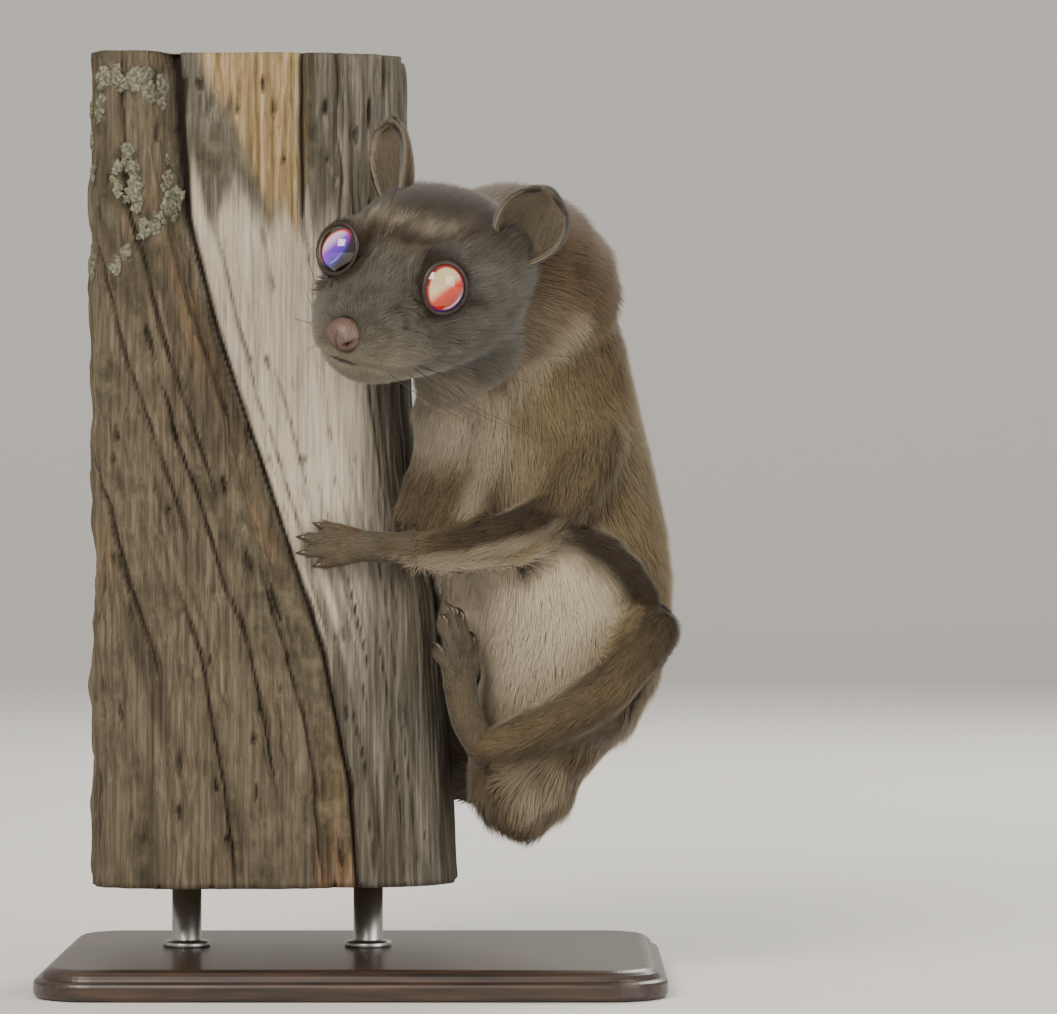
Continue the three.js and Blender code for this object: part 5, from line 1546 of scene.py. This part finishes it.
# Stations from the rump to the tip: place, the way of the plume's left edge, half width and half
# thickness
TAIL = [
    (35, 0, 40, 0.62, -0.79, 0, 8, 7), (34.5, 12, 38, 0.3, -0.45, -0.85, 7, 5),
    (30.5, 25, 40, 0, 0, -1, 10, 4), (21, 36, 44, 0, 0, -1, 12, 3.8), (8, 41, 50, -0.1, 0, -1, 12.5, 3.6),
    (-8, 43, 59, -0.4, 0, -0.9, 12.5, 3.4), (-21, 43, 72, -0.6, 0, -0.8, 11.5, 3.2),
    (-30, 42, 87, -0.85, 0, -0.5, 9.5, 2.6), (-35, 41, 100, -0.95, 0, -0.3, 3, 1),
]
# The core's share of the plume's width and thickness, and how thick it gets at most
TAIL_CORE = {"wide": 0.5, "thick": 0.7, "most": 4.6}


def tail_frame(t):
    """Centre, way, left edge, outer face and half sizes of the tail at shares of its length."""
    row = spline(TAIL, t)
    ahead = unit(spline(TAIL, np.asarray(t) + 0.01)[..., :3] - spline(TAIL, np.asarray(t) - 0.01)[..., :3])
    edge = row[..., 3:6]
    edge = unit(edge - (edge * ahead).sum(-1, keepdims=True) * ahead)
    return row[..., :3], ahead, edge, np.cross(edge, ahead), row[..., 6:8]


def core_size(half):
    """Half width and half thickness of the core in a plume of half sizes."""
    wide = half[:, 0] * TAIL_CORE["wide"]
    return np.stack([wide, np.minimum(half[:, 1] * TAIL_CORE["thick"], TAIL_CORE["most"])], -1)


t = np.linspace(0, 0.985, 70)
centre, ahead, edge, face_out, half = tail_frame(t)
turn = np.radians(np.arange(0, 360, 12))
core_half = core_size(half)
core_rings = (centre[:, None] + edge[:, None] * (np.cos(turn) * core_half[:, :1])[..., None]
              - face_out[:, None] * (np.sin(turn) * core_half[:, 1:])[..., None])
core_points, core_faces = shell(core_rings, centre[0] - ahead[0], centre[-1] + ahead[-1])
tail_core = mesh_object("tail_core", core_points, core_faces, under)


def tail_marks(t, side_share):
    """The tail is grey-brown, darker along its edges and towards its tip."""
    rim = np.abs(side_share) ** 2
    return {
        "pale": np.zeros(t.shape), "grey": np.full(t.shape, 0.3), "rufous": 0.25 * (1 - t),
        "dark": np.clip(0.15 * rim + 0.45 * rise(t, 0.55, 1), 0, 1),
    }


core_t = np.append(np.repeat(t, len(turn)), [0, 1])
for name, values in tail_marks(core_t, np.zeros(len(core_t))).items():
    mark(tail_core, name, values)
mark(tail_core, "tip", np.full(len(core_t), 0.35))
mark(tail_core, "chance", np.full(len(core_t), 0.5))
dress(tail_core, "fur_brown", "tail_root", "tail_middle", "tail_tip")
hair_t = 0.02 + 0.95 * chance.random(TAIL_TUFTS)
around = chance.random(TAIL_TUFTS) * 2 * np.pi
centre, ahead, edge, face_out, half = tail_frame(hair_t)
side_share = np.cos(around)
core_x, core_y = (core_size(half) * np.stack([side_share, np.sin(around)], -1)).T[..., None]
hair_root = centre + edge * core_x * 0.9 - face_out * core_y * 0.9
hair_out = unit(edge * side_share[:, None] * 0.15 - face_out * np.sin(around)[:, None])
spread = np.radians(42 - 26 * hair_t + 7 * chance.standard_normal(TAIL_TUFTS))
spread *= np.sign(side_share) * np.abs(side_share) ** 0.6
hair_lie = unit(ahead * np.cos(spread)[:, None] + edge * np.sin(spread)[:, None])
hair_out = unit(hair_out - (hair_out * hair_lie).sum(-1, keepdims=True) * hair_lie)
to_edge = (half[:, 0] - np.abs(core_x[:, 0])) / np.maximum(np.abs(np.sin(spread)), 0.35)
hair_length = np.clip(to_edge * (0.75 + 0.3 * chance.random(TAIL_TUFTS)), 4, 16)
hair_length *= 1 - 0.35 * rise(hair_t, 0.9, 1)
hair_size = np.stack([hair_length, 0.16 + 0.12 * chance.random(TAIL_TUFTS),
                      half[:, 1] * 0.3 * (0.6 + 0.5 * chance.random(TAIL_TUFTS))], -1)
hair_marks = tail_marks(hair_t, side_share)
hair_marks["chance"] = np.clip(0.5 + 0.3 * chance.standard_normal(TAIL_TUFTS), 0, 1)
tail_uv = np.stack([0.02 + 0.96 * hair_t, 0.02 + 0.96 * around / (2 * np.pi)], -1)
# Towards the tip the hairs close to a point, as on a brush.
closing = (hair_size[:, 2] + np.abs(core_y[:, 0]) * 0.8) * rise(hair_t, 0.6, 0.9)
tail_bend = ahead * (hair_length * 0.18)[:, None] - hair_out * closing[:, None]
for number, group in enumerate(np.array_split(np.arange(TAIL_TUFTS), 2), 1):
    plume = tufts(f"tail_plume_{number}", hair_root[group], hair_out[group], hair_lie[group],
                  hair_size[group], tail_uv[group], {k: v[group] for k, v in hair_marks.items()},
                  rows=3, bend=tail_bend[group])
    dress(plume, "fur_brown")

low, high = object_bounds()
